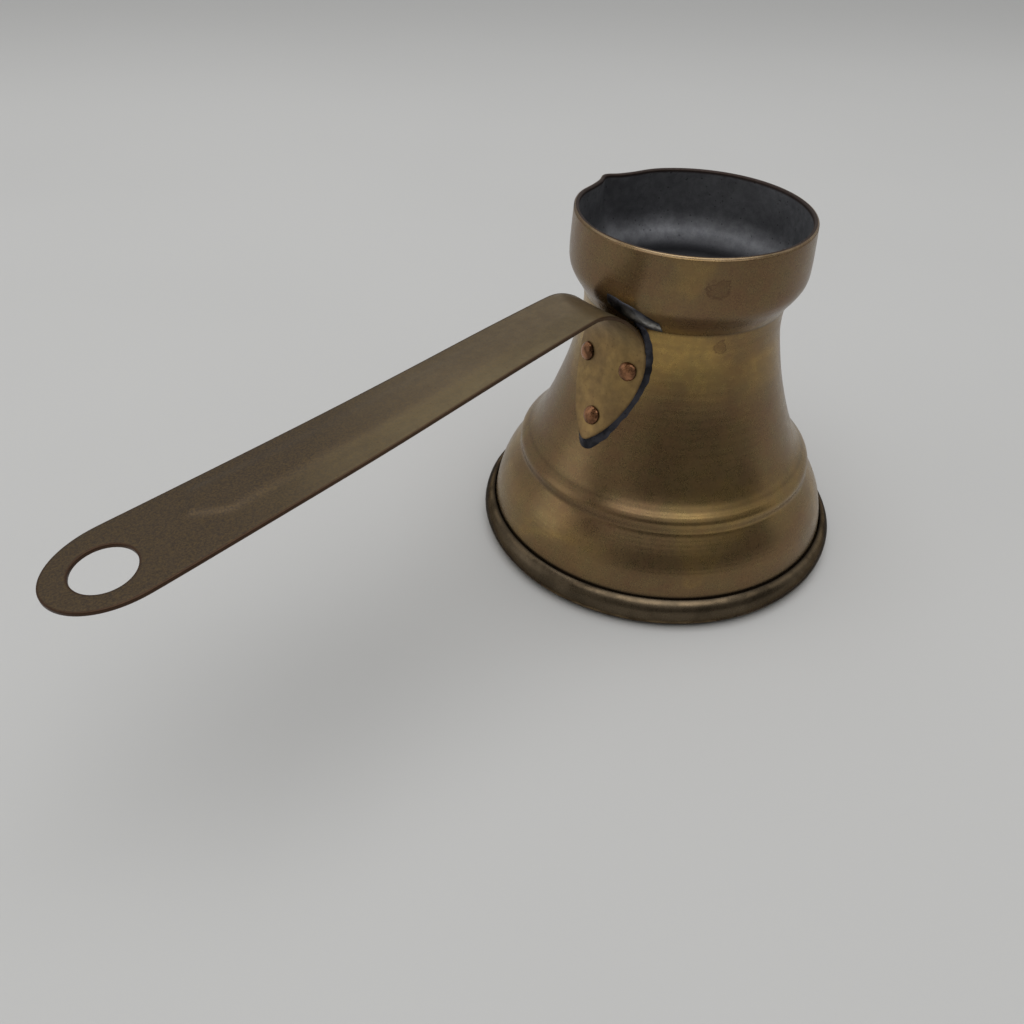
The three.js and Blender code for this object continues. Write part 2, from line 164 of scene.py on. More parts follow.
class CoffeePotFinish(bpy.types.PropertyGroup):
    """Colours of the metals and of their tarnish."""

    brass: colour("Brass", "Handled brass of the body", 0.275, 0.182, 0.075)
    brass_dull: colour("Dull Brass", "Tarnished brass of the body", 0.175, 0.116, 0.060)
    # Bare brass for the mouth's edge and the hem, used mostly as a painted highlight.
    bare_brass_sheen: colour("Worn Brass", "Bare metal on rubbed edges", 0.55, 0.40, 0.24)
    brown: colour("Brown Stain", "Heat and drip stains", 0.085, 0.045, 0.028)
    # Dark for dirt, and also painted as shade into creases.
    grime: colour("Grime", "Dirt in creases", 0.012, 0.010, 0.009)
    # Painted reflection: the neck's gold is painted lighter than the body's brass.
    neck: colour("Neck", "Golden brass of the neck", 0.66, 0.43, 0.12)
    collar: colour("Collar", "Browned brass of the collar", 0.150, 0.098, 0.072)
    ruddy: colour("Ruddy Patches", "Reddish tarnish", 0.135, 0.070, 0.045)
    amber: colour("Amber Patches", "Yellow tarnish", 0.40, 0.25, 0.075)
    olive: colour("Olive Patches", "Greenish tarnish", 0.160, 0.145, 0.068)
    hem: colour("Hem", "Darker brass of the base", 0.105, 0.080, 0.052)
    handle: colour("Handle", "Grey-olive brass of the handle", 0.225, 0.178, 0.115)
    handle_dull: colour("Dull Handle", "Browned brass towards its end", 0.068, 0.052, 0.040)
    # Painted highlight: lighter brass painted on the flat strip beside the handle's panel.
    margin: colour("Margin", "Flat margin beside the handle's panel", 0.245, 0.195, 0.110)
    leaf: colour("Leaf", "Warmer brass of the riveted leaf", 0.44, 0.285, 0.105)
    leaf_brown: colour("Leaf Patches", "Brown tarnish on the leaf", 0.20, 0.115, 0.065)
    leaf_gold: colour("Leaf Mottle", "Bright mottle on the leaf", 0.52, 0.36, 0.15)
    copper: colour("Copper", "Rivets", 0.36, 0.17, 0.085)
    solder: colour("Solder", "Dull blue-grey solder", 0.062, 0.062, 0.074)
    # Painted highlight: the light streak on the solder smear.
    solder_highlight: colour("Bright Solder", "Light streak of solder", 0.55, 0.55, 0.53)
    tin: colour("Tin", "Tinned lining", 0.24, 0.245, 0.26)
    # Also painted as shade inside the neck.
    tin_stain_and_shade: colour("Dark Tin", "Coffee-stained lining", 0.10, 0.10, 0.115)


class CoffeePotStudio(bpy.types.PropertyGroup):
    """Floor, lights and camera."""

    floor: colour("Floor", "Pale paper under the pot", 0.575, 0.575, 0.57)
    surround: bpy.props.FloatProperty(
        name="Surround", description="Brightness of the white room", default=0.46, min=0.0)
    overhead: bpy.props.FloatProperty(
        name="Overhead Light", description="Power of the soft light above, in watts",
        default=8.0, min=0.0, unit="POWER")
    side: bpy.props.FloatProperty(
        name="Side Light", description="Power of the soft light to the left, in watts",
        default=1.2, min=0.0, unit="POWER")
    dark_side: bpy.props.FloatProperty(
        name="Dark Side", description="Direction of the room's unlit side, from +X",
        subtype="ANGLE", default=math.radians(37.04))
    eye: bpy.props.FloatVectorProperty(
        name="Camera", description="Where the camera stands", subtype="XYZ", unit="LENGTH",
        default=(0.14703, 0.11096, 0.1415))
    heading: bpy.props.FloatProperty(
        name="Heading", description="Direction the camera looks in, from +X", subtype="ANGLE",
        default=math.radians(227.48))
    tilt: bpy.props.FloatProperty(
        name="Tilt", description="How far the camera looks down", subtype="ANGLE",
        default=math.radians(38.32))
    roll: bpy.props.FloatProperty(
        name="Roll", description="Turn of the camera about its own axis", subtype="ANGLE",
        default=math.radians(1.664))
    lens: bpy.props.FloatProperty(
        name="Lens", description="Focal length in millimetres", default=33.9, min=1.0)


# ---------------------------------------------------------------- outlines


def smooth(low, high, value):
    """Smoothstep of a number or an array."""
    share = np.clip((np.asarray(value, float) - low) / (high - low), 0.0, 1.0)
    return share * share * (3.0 - 2.0 * share)


def distances(points):
    """Length along a polyline at each of its points."""
    return np.concatenate([[0], np.cumsum(np.linalg.norm(np.diff(points, axis=0), axis=1))])


def evenly(points, count, closed=False):
    """The same polyline with evenly spaced points."""
    points = np.asarray(points, float)
    if closed:
        points = np.vstack([points, points[:1]])
    length = distances(points)
    at = np.linspace(0.0, length[-1], count, endpoint=not closed)
    return np.stack([np.interp(at, length, points[:, axis]) for axis in range(points.shape[1])], 1)


def curve_through(points, count):
    """Evenly spaced points on a smooth curve through the given ones."""
    given = np.asarray(points, float)
    padded = np.vstack([given[:1], given, given[-1:]])
    share = np.linspace(0.0, 1.0, 24, endpoint=False)[:, None]
    runs = []
    for a, b, c, d in zip(padded[:-3], padded[1:-2], padded[2:-1], padded[3:]):
        out, back = (c - a) / 2, (d - b) / 2
        runs.append(
            (2 * b - 2 * c + out + back) * share**3
            + (3 * c - 3 * b - 2 * out - back) * share**2 + out * share + b)
    return evenly(np.vstack([*runs, given[-1:]]), count)


def normals_of(points):
    """Outward normals of a wall drawn from below upwards."""
    along = np.gradient(points, axis=0)
    turned = np.stack([along[:, 1], -along[:, 0]], 1)
    return turned / np.linalg.norm(turned, axis=1, keepdims=True)


def wall_outline(counts):
    """The wall's outer outline, with so many points on each stretch."""
    runs = [curve_through(part, n) for part, n in zip((BULGE, BEAD, WAIST, COLLAR), counts)]
    return np.vstack([runs[0], *(run[1:] for run in runs[1:])])


FINE_WALL = wall_outline((160, 80, 400, 240))
FINE_NORMALS = normals_of(FINE_WALL)


def on_wall(across, z, off):
    """Points `off` outside the wall at height z, `across` millimetres round from the handle."""
    r, nr, nz = (np.interp(z, FINE_WALL[:, 1], column)
                 for column in (FINE_WALL[:, 0], FINE_NORMALS[:, 0], FINE_NORMALS[:, 1]))
    out, angle = r + nr * off, across / r
    return np.stack([out * np.cos(angle), out * np.sin(angle), z + nz * off], -1)


def arc(centre_r, centre_z, wide, tall, start, end, count):
    """Points on part of an ellipse in the outline's plane, angles in degrees."""
    angle = np.radians(np.linspace(start, end, count))
    return np.stack([centre_r + wide * np.cos(angle), centre_z + tall * np.sin(angle)], 1)


def near(points, place, width):
    """1 at a place on the outline, fading to 0 at `width` from it."""
    return np.exp(-((np.linalg.norm(points - np.asarray(place), axis=1) / width) ** 2))


# ---------------------------------------------------------------- node graphs


class Graph:
    """Short calls for building a node tree."""

    def __init__(self, tree, inputs=(), outputs=()):
        self.tree = tree
        for name, kind, default in inputs:
            socket = tree.interface.new_socket(name, in_out="INPUT", socket_type=kind)
            if default is not None:
                socket.default_value = default
        for name, kind in outputs:
            tree.interface.new_socket(name, in_out="OUTPUT", socket_type=kind)
        self.given = self.node("NodeGroupInput").outputs if inputs else None
        self.result = self.node("NodeGroupOutput").inputs if outputs else None

    def put(self, socket, value):
        """Links a socket, or sets a plain value."""
        if isinstance(value, bpy.types.NodeSocket):
            self.tree.links.new(value, socket)
        else:
            socket.default_value = value

    def node(self, kind, values=None, **settings):
        """A new node with its settings and input values."""
        node = self.tree.nodes.new(kind)
        for name, value in settings.items():
            setattr(node, name, value)
        for key, value in (values or {}).items():
            self.put(node.inputs[key], value)
        return node

    def math(self, operation, *values):
        """Arithmetic on numbers."""
        return self.node(
            "ShaderNodeMath", dict(enumerate(values)), operation=operation).outputs[0]

    def vector(self, operation, *values):
        """Arithmetic on vectors."""
        node = self.node("ShaderNodeVectorMath", dict(enumerate(values)), operation=operation)
        return node.outputs["Value" if operation in ("LENGTH", "DISTANCE", "DOT_PRODUCT") else 0]

    def combine(self, x, y, z):
        """A vector from its parts."""
        return self.node("ShaderNodeCombineXYZ", {"X": x, "Y": y, "Z": z}).outputs[0]

    def ramp(self, value, low, high, to_low=0.0, to_high=1.0):
        """Smooth step of a value from low to high."""
        return self.node(
            "ShaderNodeMapRange",
            {"Value": value, "From Min": low, "From Max": high, "To Min": to_low,
             "To Max": to_high},
            interpolation_type="SMOOTHSTEP").outputs[0]

    def noise(self, vector, scale, detail=2.0, roughness=0.5, distortion=0.0, w=None):
        """Smooth noise from 0 to 1, with a fourth coordinate where one is given."""
        node = self.node(
            "ShaderNodeTexNoise",
            {"Vector": vector, "Scale": scale, "Detail": detail, "Roughness": roughness,
             "Distortion": distortion},
            noise_dimensions="3D" if w is None else "4D")
        if w is not None:
            self.put(node.inputs["W"], w)
        return node.outputs[0]

    def blend(self, factor, a, b, blend_type="MIX"):
        """Mixes two colours, each a socket or three numbers."""
        node = self.node("ShaderNodeMix", data_type="RGBA", blend_type=blend_type)
        for index, value in ((0, factor), (6, a), (7, b)):
            if not isinstance(value, (int, float, bpy.types.NodeSocket)):
                value = (*value, 1.0)
            self.put(node.inputs[index], value)
        return node.outputs[2]


OUTLINE_FACTS = ("along", "lining", "worn", "grime")


def turned_sheet_tree():
    """Geometry Nodes tree that turns an outline about the axis, with a pinched pouring lip.

    The outline is a chain of points (x out, z up). It carries the facts named above, which are
    kept on the turned mesh for its finish.
    """
    name = "Turned Sheet"
    if name in bpy.data.node_groups:
        return bpy.data.node_groups[name]
    real = "NodeSocketFloat"
    g = Graph(
        bpy.data.node_groups.new(name, "GeometryNodeTree"),
        [
            ("Outline", "NodeSocketGeometry", None),
            ("Facets", "NodeSocketInt", 256),
            ("Closed", "NodeSocketBool", True),
            ("Crowding", real, 0.0),
            ("Spout Angle", real, -math.pi / 2),
            ("Spout Reach", real, 0.0),
            ("Spout Pinch", real, 0.0),
            ("Spout Bottom", real, 0.0),
            ("Spout Full", real, 1.0),
            ("Wobble", real, 0.0),
            ("Wobble Scale", real, 40.0),
            ("Seed", real, 0.0),
            ("Place", "NodeSocketVector", (0.0, 0.0, 0.0)),
            ("Lean", "NodeSocketVector", (0.0, 0.0, 0.0)),
            ("Finish", "NodeSocketMaterial", None),
            ("Lining", "NodeSocketMaterial", None),
        ],
        [("Mesh", "NodeSocketGeometry")],
    )
    g.tree.is_modifier = True
    given = g.given
    points = g.node(
        "GeometryNodeAttributeDomainSize", {"Geometry": given["Outline"]}, component="MESH"
    ).outputs["Point Count"]
    rows = g.math("ADD", points, given["Closed"])
    grid = g.node(
        "GeometryNodeMeshGrid",
        {"Vertices X": g.math("ADD", given["Facets"], 1.0), "Vertices Y": rows}).outputs["Mesh"]
    index = g.node("GeometryNodeInputIndex").outputs[0]
    column = g.math("FLOOR", g.math("DIVIDE", g.math("ADD", index, 0.5), rows))
    row = g.math("SUBTRACT", index, g.math("MULTIPLY", column, rows))
    row = g.math("FLOORED_MODULO", row, points)

    def sampled(value, data_type):
        return g.node(
            "GeometryNodeSampleIndex",
            {"Geometry": given["Outline"], "Value": value, "Index": row},
            data_type=data_type).outputs["Value"]

    place = g.node(
        "ShaderNodeSeparateXYZ",
        {0: sampled(g.node("GeometryNodeInputPosition").outputs[0], "FLOAT_VECTOR")}).outputs
    radius, height = place["X"], place["Z"]

    # Facets crowd towards the spout, so that its narrow V has enough of them.
    even = g.math("MULTIPLY", g.math("DIVIDE", column, given["Facets"]), 2 * math.pi)
    even = g.math("SUBTRACT", even, math.pi)
    delta = g.math(
        "SUBTRACT", even, g.math("MULTIPLY", given["Crowding"], g.math("SINE", even)))
    angle = g.math("ADD", given["Spout Angle"], delta)

    def bell(value, width):
        ratio = g.math("DIVIDE", value, width)
        return g.math("EXPONENT", g.math("MULTIPLY", g.math("MULTIPLY", ratio, ratio), -1.0))

    flank = g.math("SUBTRACT", g.math("ABSOLUTE", delta), SPOUT_FLANK_ANGLE)
    push = g.math(
        "SUBTRACT",
        g.math("MULTIPLY", given["Spout Reach"], bell(delta, SPOUT_TIP_WIDTH)),
        g.math("MULTIPLY", given["Spout Pinch"], bell(flank, SPOUT_FLANK_WIDTH)))
    push = g.math(
        "MULTIPLY", push, g.ramp(height, given["Spout Bottom"], given["Spout Full"]))

    cos, sin = g.math("COSINE", angle), g.math("SINE", angle)
    round_place = g.combine(
        g.math("MULTIPLY", radius, cos), g.math("MULTIPLY", radius, sin), height)
    stray = g.noise(round_place, given["Wobble Scale"], detail=1.0, w=given["Seed"])
    stray = g.math(
        "MULTIPLY", g.math("SUBTRACT", stray, 0.5), g.math("MULTIPLY", given["Wobble"], 2.0))
    # Nothing strays at the axis, so that the poles stay closed.
    stray = g.math("MULTIPLY", stray, g.ramp(radius, 0.0, 0.001))
    out = g.math("ADD", g.math("ADD", radius, push), stray)
    position = g.combine(g.math("MULTIPLY", out, cos), g.math("MULTIPLY", out, sin), height)
    mesh = g.node(
        "GeometryNodeSetPosition", {"Geometry": grid, "Position": position}).outputs[0]
    for fact in OUTLINE_FACTS:
        value = sampled(
            g.node("GeometryNodeInputNamedAttribute", {"Name": fact}, data_type="FLOAT")
            .outputs["Attribute"], "FLOAT")
        mesh = g.node(
            "GeometryNodeStoreNamedAttribute",
            {"Geometry": mesh, "Name": fact, "Value": value},
            data_type="FLOAT", domain="POINT").outputs[0]
    mesh = g.node("GeometryNodeMergeByDistance", {"Geometry": mesh, "Distance": 1e-6}).outputs[0]
    turn = g.node("FunctionNodeEulerToRotation", {0: given["Lean"]}).outputs[0]
    mesh = g.node(
        "GeometryNodeTransform",
        {"Geometry": mesh, "Translation": given["Place"], "Rotation": turn}).outputs[0]
    mesh = g.node("GeometryNodeSetShadeSmooth", {"Geometry": mesh}).outputs[0]
    mesh = g.node("GeometryNodeRealizeInstances", {"Geometry": mesh}).outputs[0]
    mesh = g.node(
        "GeometryNodeSetMaterial", {"Geometry": mesh, "Material": given["Finish"]}).outputs[0]
    lining = g.node(
        "GeometryNodeInputNamedAttribute", {"Name": "lining"}, data_type="FLOAT"
    ).outputs["Attribute"]
    mesh = g.node(
        "GeometryNodeSetMaterial",
        {"Geometry": mesh, "Selection": g.math("GREATER_THAN", lining, 0.5),
         "Material": given["Lining"]}).outputs[0]
    g.put(g.result["Mesh"], mesh)
    return g.tree


def turned_piece(name, outline, facts, finish, lining=None, **inputs):
    """A finished piece turned from its outline, which is given in drawn millimetres."""
    count = len(outline)
    host_mesh = bpy.data.meshes.new(name + "_outline")
    places = [(r * UNIT, 0.0, z * UNIT) for r, z in outline]
    host_mesh.from_pydata(places, [(i, i + 1) for i in range(count - 1)], [])
    for fact in OUTLINE_FACTS:
        values = np.broadcast_to(np.asarray(facts.get(fact, 0.0), np.float32), (count,))
        layer = host_mesh.attributes.new(fact, "FLOAT", "POINT")
        layer.data.foreach_set("value", np.ascontiguousarray(values))
    host = bpy.data.objects.new(name + "_outline", host_mesh)
    bpy.context.scene.collection.objects.link(host)
    modifier = host.modifiers.new("Turned Sheet", "NODES")
    modifier.node_group = turned_sheet_tree()
    values = {"Finish": finish, "Lining": lining or finish, **inputs}
    for item in modifier.node_group.interface.items_tree:
        if item.item_type == "SOCKET" and item.in_out == "INPUT" and item.name in values:
            modifier[item.identifier] = values[item.name]
    graph = bpy.context.evaluated_depsgraph_get()
    mesh = bpy.data.meshes.new_from_object(
        host.evaluated_get(graph), preserve_all_data_layers=True, depsgraph=graph)
    bpy.data.objects.remove(host)
    bpy.data.meshes.remove(host_mesh)
    return finished(name, mesh)


def finished(name, mesh):
    """Links a mesh as a piece at the origin, and makes sure that it's closed and faces outwards."""
    mesh.name = name
    sides = {}
    volume = 0.0
    corners = [v.co for v in mesh.vertices]
    for face in mesh.polygons:
        ids = list(face.vertices)
        for a, b in zip(ids, ids[1:] + ids[:1]):
            sides[a, b] = sides.get((a, b), 0) + 1
        for b, c in zip(ids[1:-1], ids[2:]):
            volume += corners[ids[0]].dot(corners[b].cross(corners[c]))
    loose = sum(1 for (a, b) in sides if sides.get((b, a), 0) != 1 or sides[a, b] != 1)
    if loose or volume <= 0:
        raise RuntimeError(f"{name}: {loose} open sides, volume {volume / 6:.3g}")
    piece = bpy.data.objects.new(name, mesh)
    bpy.context.scene.collection.objects.link(piece)
    return piece


def mesh_of(name, places, faces, finish, facts=None):
    """A smooth mesh in drawn millimetres with its finish and facts."""
    mesh = bpy.data.meshes.new(name)
    mesh.from_pydata((np.asarray(places) * UNIT).tolist(), [], faces)
    for fact, values in (facts or {}).items():
        layer = mesh.attributes.new(fact, "FLOAT", "POINT")
        layer.data.foreach_set("value", np.asarray(values, np.float32))
    mesh.shade_smooth()
    mesh.materials.append(finish)
    return mesh


def lofted_faces(rings, count):
    """Quads between closed rings of points, with an n-gon at each end."""
    faces = []
    for i in range(rings - 1):
        for j in range(count):
            a, b = i * count + j, i * count + (j + 1) % count
            faces.append((a, b, b + count, a + count))
    faces.append(tuple(reversed(range(count))))
    faces.append(tuple(range((rings - 1) * count, rings * count)))
    return faces


def declare(piece, slot, *nodes):
    """Rides a piece on the pot's one body in place of its frame nodes."""
    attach(piece, "root")
    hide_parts(*nodes)


def lumps(place, size, seed):
    """Smooth random value from -1 to 1."""
    x, y, z = place
    return noise.noise(Vector((x / size + seed, y / size - seed, z / size + 2 * seed)))


# ---------------------------------------------------------------- shared shader groups


def shader_group(name, inputs, outputs, build):
    """A shader node group, made once."""
    if name not in bpy.data.node_groups:
        g = Graph(bpy.data.node_groups.new(name, "ShaderNodeTree"), inputs, outputs)
        build(g, g.given, g.result)
    return bpy.data.node_groups[name]


def patina_group():
    """Soft blotches, a finer mottle and small dark specks."""

    def build(g, given, result):
        place, seed = given["Place"], given["Seed"]
        shifted = g.vector("ADD", place, g.combine(seed, seed, seed))
        blotch = g.noise(shifted, given["Blotch Scale"], detail=4.0, distortion=0.6)
        g.put(result["Blotch"], g.ramp(blotch, 0.36, 0.64))
        mottle = g.noise(shifted, given["Mottle Scale"], detail=5.0, roughness=0.65)
        g.put(result["Mottle"], g.ramp(mottle, 0.3, 0.7))
        cells = g.node(
            "ShaderNodeTexVoronoi", {"Vector": shifted, "Scale": given["Speck Scale"]},
            feature="F1")
        size = g.node("ShaderNodeSeparateColor", {0: cells.outputs["Color"]}).outputs[0]
        reach = g.ramp(size, 0.7, 1.0, 0.0, 0.36)
        speck = g.math("SUBTRACT", reach, cells.outputs["Distance"])
        g.put(result["Specks"], g.ramp(speck, 0.0, 0.12))
        grain = g.noise(shifted, g.math("MULTIPLY", given["Speck Scale"], 1.7), detail=3.0,
                        roughness=0.7)
        g.put(result["Grain"], g.ramp(grain, 0.28, 0.72))

    return shader_group(
        "Patina",
        [("Place", "NodeSocketVector", None), ("Seed", "NodeSocketFloat", 0.0),
         ("Blotch Scale", "NodeSocketFloat", 45.0), ("Mottle Scale", "NodeSocketFloat", 320.0),
         ("Speck Scale", "NodeSocketFloat", 900.0)],
        [("Blotch", "NodeSocketFloat"), ("Mottle", "NodeSocketFloat"),
         ("Specks", "NodeSocketFloat"), ("Grain", "NodeSocketFloat")],
        build)


def tool_lines_group():
    """Fine lines at right angles to a coordinate, as a spinning or drawing tool leaves."""

    def build(g, given, result):
        across = g.math("MULTIPLY", given["Across"], given["Lines per Metre"])
        drift = g.vector("SCALE", given["Place"])
        drift.node.inputs["Scale"].default_value = 6.0
        spot = g.vector("ADD", drift, g.combine(across, 0.0, 0.0))
        fine = g.noise(spot, 1.0, detail=4.0, roughness=0.7)
        broad = g.noise(g.vector("MULTIPLY", spot, (0.23, 0.6, 0.6)), 1.0, detail=2.0)
        g.put(result["Fine"], g.ramp(fine, 0.25, 0.75))
        g.put(result["Broad"], g.ramp(broad, 0.3, 0.7))

    return shader_group(
        "Tool Lines",
        [("Place", "NodeSocketVector", None), ("Across", "NodeSocketFloat", 0.0),
         ("Lines per Metre", "NodeSocketFloat", 3000.0)],
        [("Fine", "NodeSocketFloat"), ("Broad", "NodeSocketFloat")], build)


def patchy_edge_group():
    """Breaks up an edge fact, so that wear and painted highlights come and go along an edge."""

    def build(g, given, result):
        broken = g.noise(given["Place"], given["Scale"], detail=3.0)
        mask = g.math("MULTIPLY", given["Edge"], g.ramp(broken, 0.3, 0.6, 0.35, 1.0))
        g.put(result["Sheen"], g.ramp(mask, 0.1, 0.8))

    return shader_group(
        "Rubbed Edge",
        [("Place", "NodeSocketVector", None), ("Edge", "NodeSocketFloat", 0.0),
         ("Scale", "NodeSocketFloat", 250.0)],
        [("Sheen", "NodeSocketFloat")], build)


def stain_group():
    """A ragged dried drop with a darker rim."""

    def build(g, given, result):
        place = given["Place"]
        ragged = g.math("SUBTRACT", g.noise(place, 480.0, detail=5.0, roughness=0.65), 0.5)
        reach = g.vector("DISTANCE", place, given["Centre"])
        ratio = g.math("DIVIDE", reach, given["Radius"])
        ratio = g.math("ADD", ratio, g.math("MULTIPLY", ragged, 3.2))
        inside = g.ramp(ratio, 1.1, 0.9, 0.0, 1.0)
        rim = g.ramp(g.math("ABSOLUTE", g.math("SUBTRACT", ratio, 0.95)), 0.22, 0.0)
        g.put(result["Stain"], g.math("MAXIMUM", g.math("MULTIPLY", inside, 0.45), rim))

    return shader_group(
        "Stain",
        [("Place", "NodeSocketVector", None), ("Centre", "NodeSocketVector", (0.0, 0.0, 0.0)),
         ("Radius", "NodeSocketFloat", 0.002)],
        [("Stain", "NodeSocketFloat")], build)


# ---------------------------------------------------------------- finishes


class Finish(Graph):
    """A Principled material with the shared coordinates and groups at hand."""

    def __init__(self, name, metallic=0.78):
        material = bpy.data.materials.new(name)
        material.use_nodes = True
        super().__init__(material.node_tree)
        self.material = material
        self.shader = material.node_tree.nodes["Principled BSDF"]
        self.shader.inputs["Metallic"].default_value = metallic
        self.shader.inputs["Specular IOR Level"].default_value = 0.15
        self.place = self.node("ShaderNodeTexCoord").outputs["Object"]

    def fact(self, name):
        """An attribute of the mesh."""
        return self.node("ShaderNodeAttribute", attribute_name=name).outputs["Fac"]

    def climb(self, low, high):
        """Smooth step from one drawn height to another."""
        height = self.node("ShaderNodeSeparateXYZ", {0: self.place}).outputs["Z"]
        return self.ramp(height, low * UNIT, high * UNIT)

    def group(self, group, **values):
        """A shared group's outputs; an underscore in a value's name stands for a space."""
        node = self.node("ShaderNodeGroup")
        node.node_tree = group
        self.put(node.inputs["Place"], self.place)
        for name, value in values.items():
            self.put(node.inputs[name.replace("_", " ")], value)
        return node.outputs

    def tint(self, base, mask, amount, tone):
        """Lays so much of a colour over another where a mask is full."""
        return self.blend(self.math("MULTIPLY", mask, amount), base, tone)

    def uneven(self, start, mask, amount):
        """A value that grows by an amount where a mask is full."""
        return self.math("ADD", start, self.math("MULTIPLY", mask, amount))

    def bump(self, height, strength, distance, under=None):
        """A surface normal from a height, on top of another normal."""
        node = self.node(
            "ShaderNodeBump", {"Height": height, "Strength": strength, "Distance": distance})
        if under is not None:
            self.put(node.inputs["Normal"], under)
        return node.outputs[0]

    def end(self, base, roughness, normal):
        """Plugs the results into the shader."""
        self.put(self.shader.inputs["Base Color"], base)
        self.put(self.shader.inputs["Roughness"], roughness)
        self.put(self.shader.inputs["Normal"], normal)
        return self.material


def shade(tint, factor):
    """A colour made darker or lighter."""
    return tuple(min(1.0, channel * factor) for channel in tint)


def body_finish(look):
    """Handled brass of the spun body: tool lines, tarnish patches, specks and dried stains, a neck
    painted lighter as a painted reflection, dirt and painted shade in the creases, and a painted
    highlight and painted shade on the mouth's edge.
    """
    f = Finish("Handled Brass")
    patina = f.group(patina_group(), Blotch_Scale=48.0, Mottle_Scale=520.0, Speck_Scale=1900.0)
    patches = f.group(patina_group(), Seed=1.7, Blotch_Scale=42.0, Mottle_Scale=190.0)
    lines = f.group(tool_lines_group(), Across=f.fact("along"), Lines_per_Metre=2600.0)
    worn = f.group(patchy_edge_group(), Edge=f.fact("worn"))["Sheen"]
    base = f.blend(patina["Blotch"], look.brass_dull, look.brass)
    # The neck is golden brass, painted lighter still as a painted reflection of the floor, and the
    # collar is held and has browned.
    neck = f.math("MULTIPLY", f.climb(40, 52), f.climb(60, 56))
    base = f.tint(base, neck, 0.85, look.neck)
    base = f.tint(base, f.climb(57, 62), 0.55, look.collar)
    base = f.tint(base, patches["Blotch"], 0.75, look.ruddy)
    base = f.tint(base, f.ramp(patches["Blotch"], 0.25, 0.0), 0.4, look.amber)
    base = f.tint(base, patches["Mottle"], 0.45, look.olive)
    base = f.tint(base, lines["Broad"], 0.22, shade(look.brass_dull, 0.7))
    base = f.tint(base, patina["Mottle"], 0.3, shade(look.brown, 2.2))
    base = f.tint(base, patina["Grain"], 0.35, shade(look.brass, 1.25))
    base = f.tint(base, patina["Specks"], 0.3, look.brown)
    # The mouth's bare edge gets a painted highlight on the side towards +X and +Y, and painted shade
    # on the far side.
    lit_side = f.ramp(f.vector("DOT_PRODUCT", f.place, (0.7, 0.7, 0.0)), -0.002, 0.016)
    rim = f.blend(lit_side, shade(look.brown, 0.5), shade(look.bare_brass_sheen, 0.62))
    base = f.blend(worn, base, rim)
    for across, height, size in STAINS:
        spot = tuple(on_wall(across, height, 0.0) * UNIT)
        stain = f.group(stain_group(), Centre=spot, Radius=size * UNIT)["Stain"]
        base = f.tint(base, stain, 0.6, shade(look.brown, 1.1))
    # Dirt and painted shade darken the creases.
    base = f.blend(f.fact("grime"), base, look.grime)
    rough = f.uneven(f.uneven(0.235, patina["Mottle"], 0.07), patina["Grain"], 0.04)
    normal = f.bump(lines["Fine"], 0.16, 0.00002)
    normal = f.bump(patina["Mottle"], 0.10, 0.00003, normal)
    return f.end(base, rough, normal)


def hem_finish(look):
    """Darker, rougher brass of the base and its rolled hem, with painted highlights on the roll and
    painted shade in its crease.
    """
    f = Finish("Dark Hem Brass")
    f.shader.inputs["Specular Tint"].default_value = (0.14, 0.13, 0.11, 1.0)
    patina = f.group(patina_group(), Seed=0.3, Blotch_Scale=110.0, Mottle_Scale=900.0,
                     Speck_Scale=2400.0)
    lines = f.group(tool_lines_group(), Across=f.fact("along"), Lines_per_Metre=2600.0)
    worn = f.group(patchy_edge_group(), Edge=f.fact("worn"))["Sheen"]
    base = f.blend(patina["Blotch"], shade(look.hem, 0.6), look.hem)
    base = f.tint(base, patina["Grain"], 0.3, shade(look.hem, 1.6))
    base = f.tint(base, patina["Specks"], 0.7, look.brown)
    # Painted highlights: light bands on the roll, broken up along it.
    base = f.tint(base, worn, 0.7, shade(look.bare_brass_sheen, 0.7))
    # Dirt and painted shade in the crease above the roll.
    base = f.blend(f.fact("grime"), base, look.grime)
    normal = f.bump(lines["Fine"], 0.15, 0.00002)
    normal = f.bump(patina["Mottle"], 0.12, 0.00003, normal)
    return f.end(base, f.uneven(0.24, patina["Mottle"], 0.12), normal)


def tin_finish(look):
    """Tinned lining, blue-grey and mottled, painted darker inside the neck as painted shade, and dark
    at the mouth's edge.
    """
    f = Finish("Tinned Lining")
    patina = f.group(patina_group(), Seed=0.7, Blotch_Scale=60.0, Mottle_Scale=600.0,
                     Speck_Scale=1500.0)
    base = f.blend(patina["Blotch"], shade(look.tin, 0.7), look.tin)
    base = f.tint(base, patina["Mottle"], 0.5, look.tin_stain_and_shade)
    base = f.tint(base, patina["Specks"], 0.6, shade(look.tin_stain_and_shade, 0.4))
    # Painted shade: the lining is painted darker down inside the neck, then back to plain tin further
    # down.
    base = f.tint(base, f.climb(61, 57.8), 0.88, shade(look.tin_stain_and_shade, 0.35))
    base = f.tint(base, f.climb(57.4, 55.6), 0.85, look.tin)
    base = f.tint(base, f.climb(72.6, 73.1), 0.9, shade(look.brown, 0.4))
    normal = f.bump(patina["Mottle"], 0.3, 0.00006)
    return f.end(base, f.uneven(0.5, patina["Grain"], 0.15), normal)


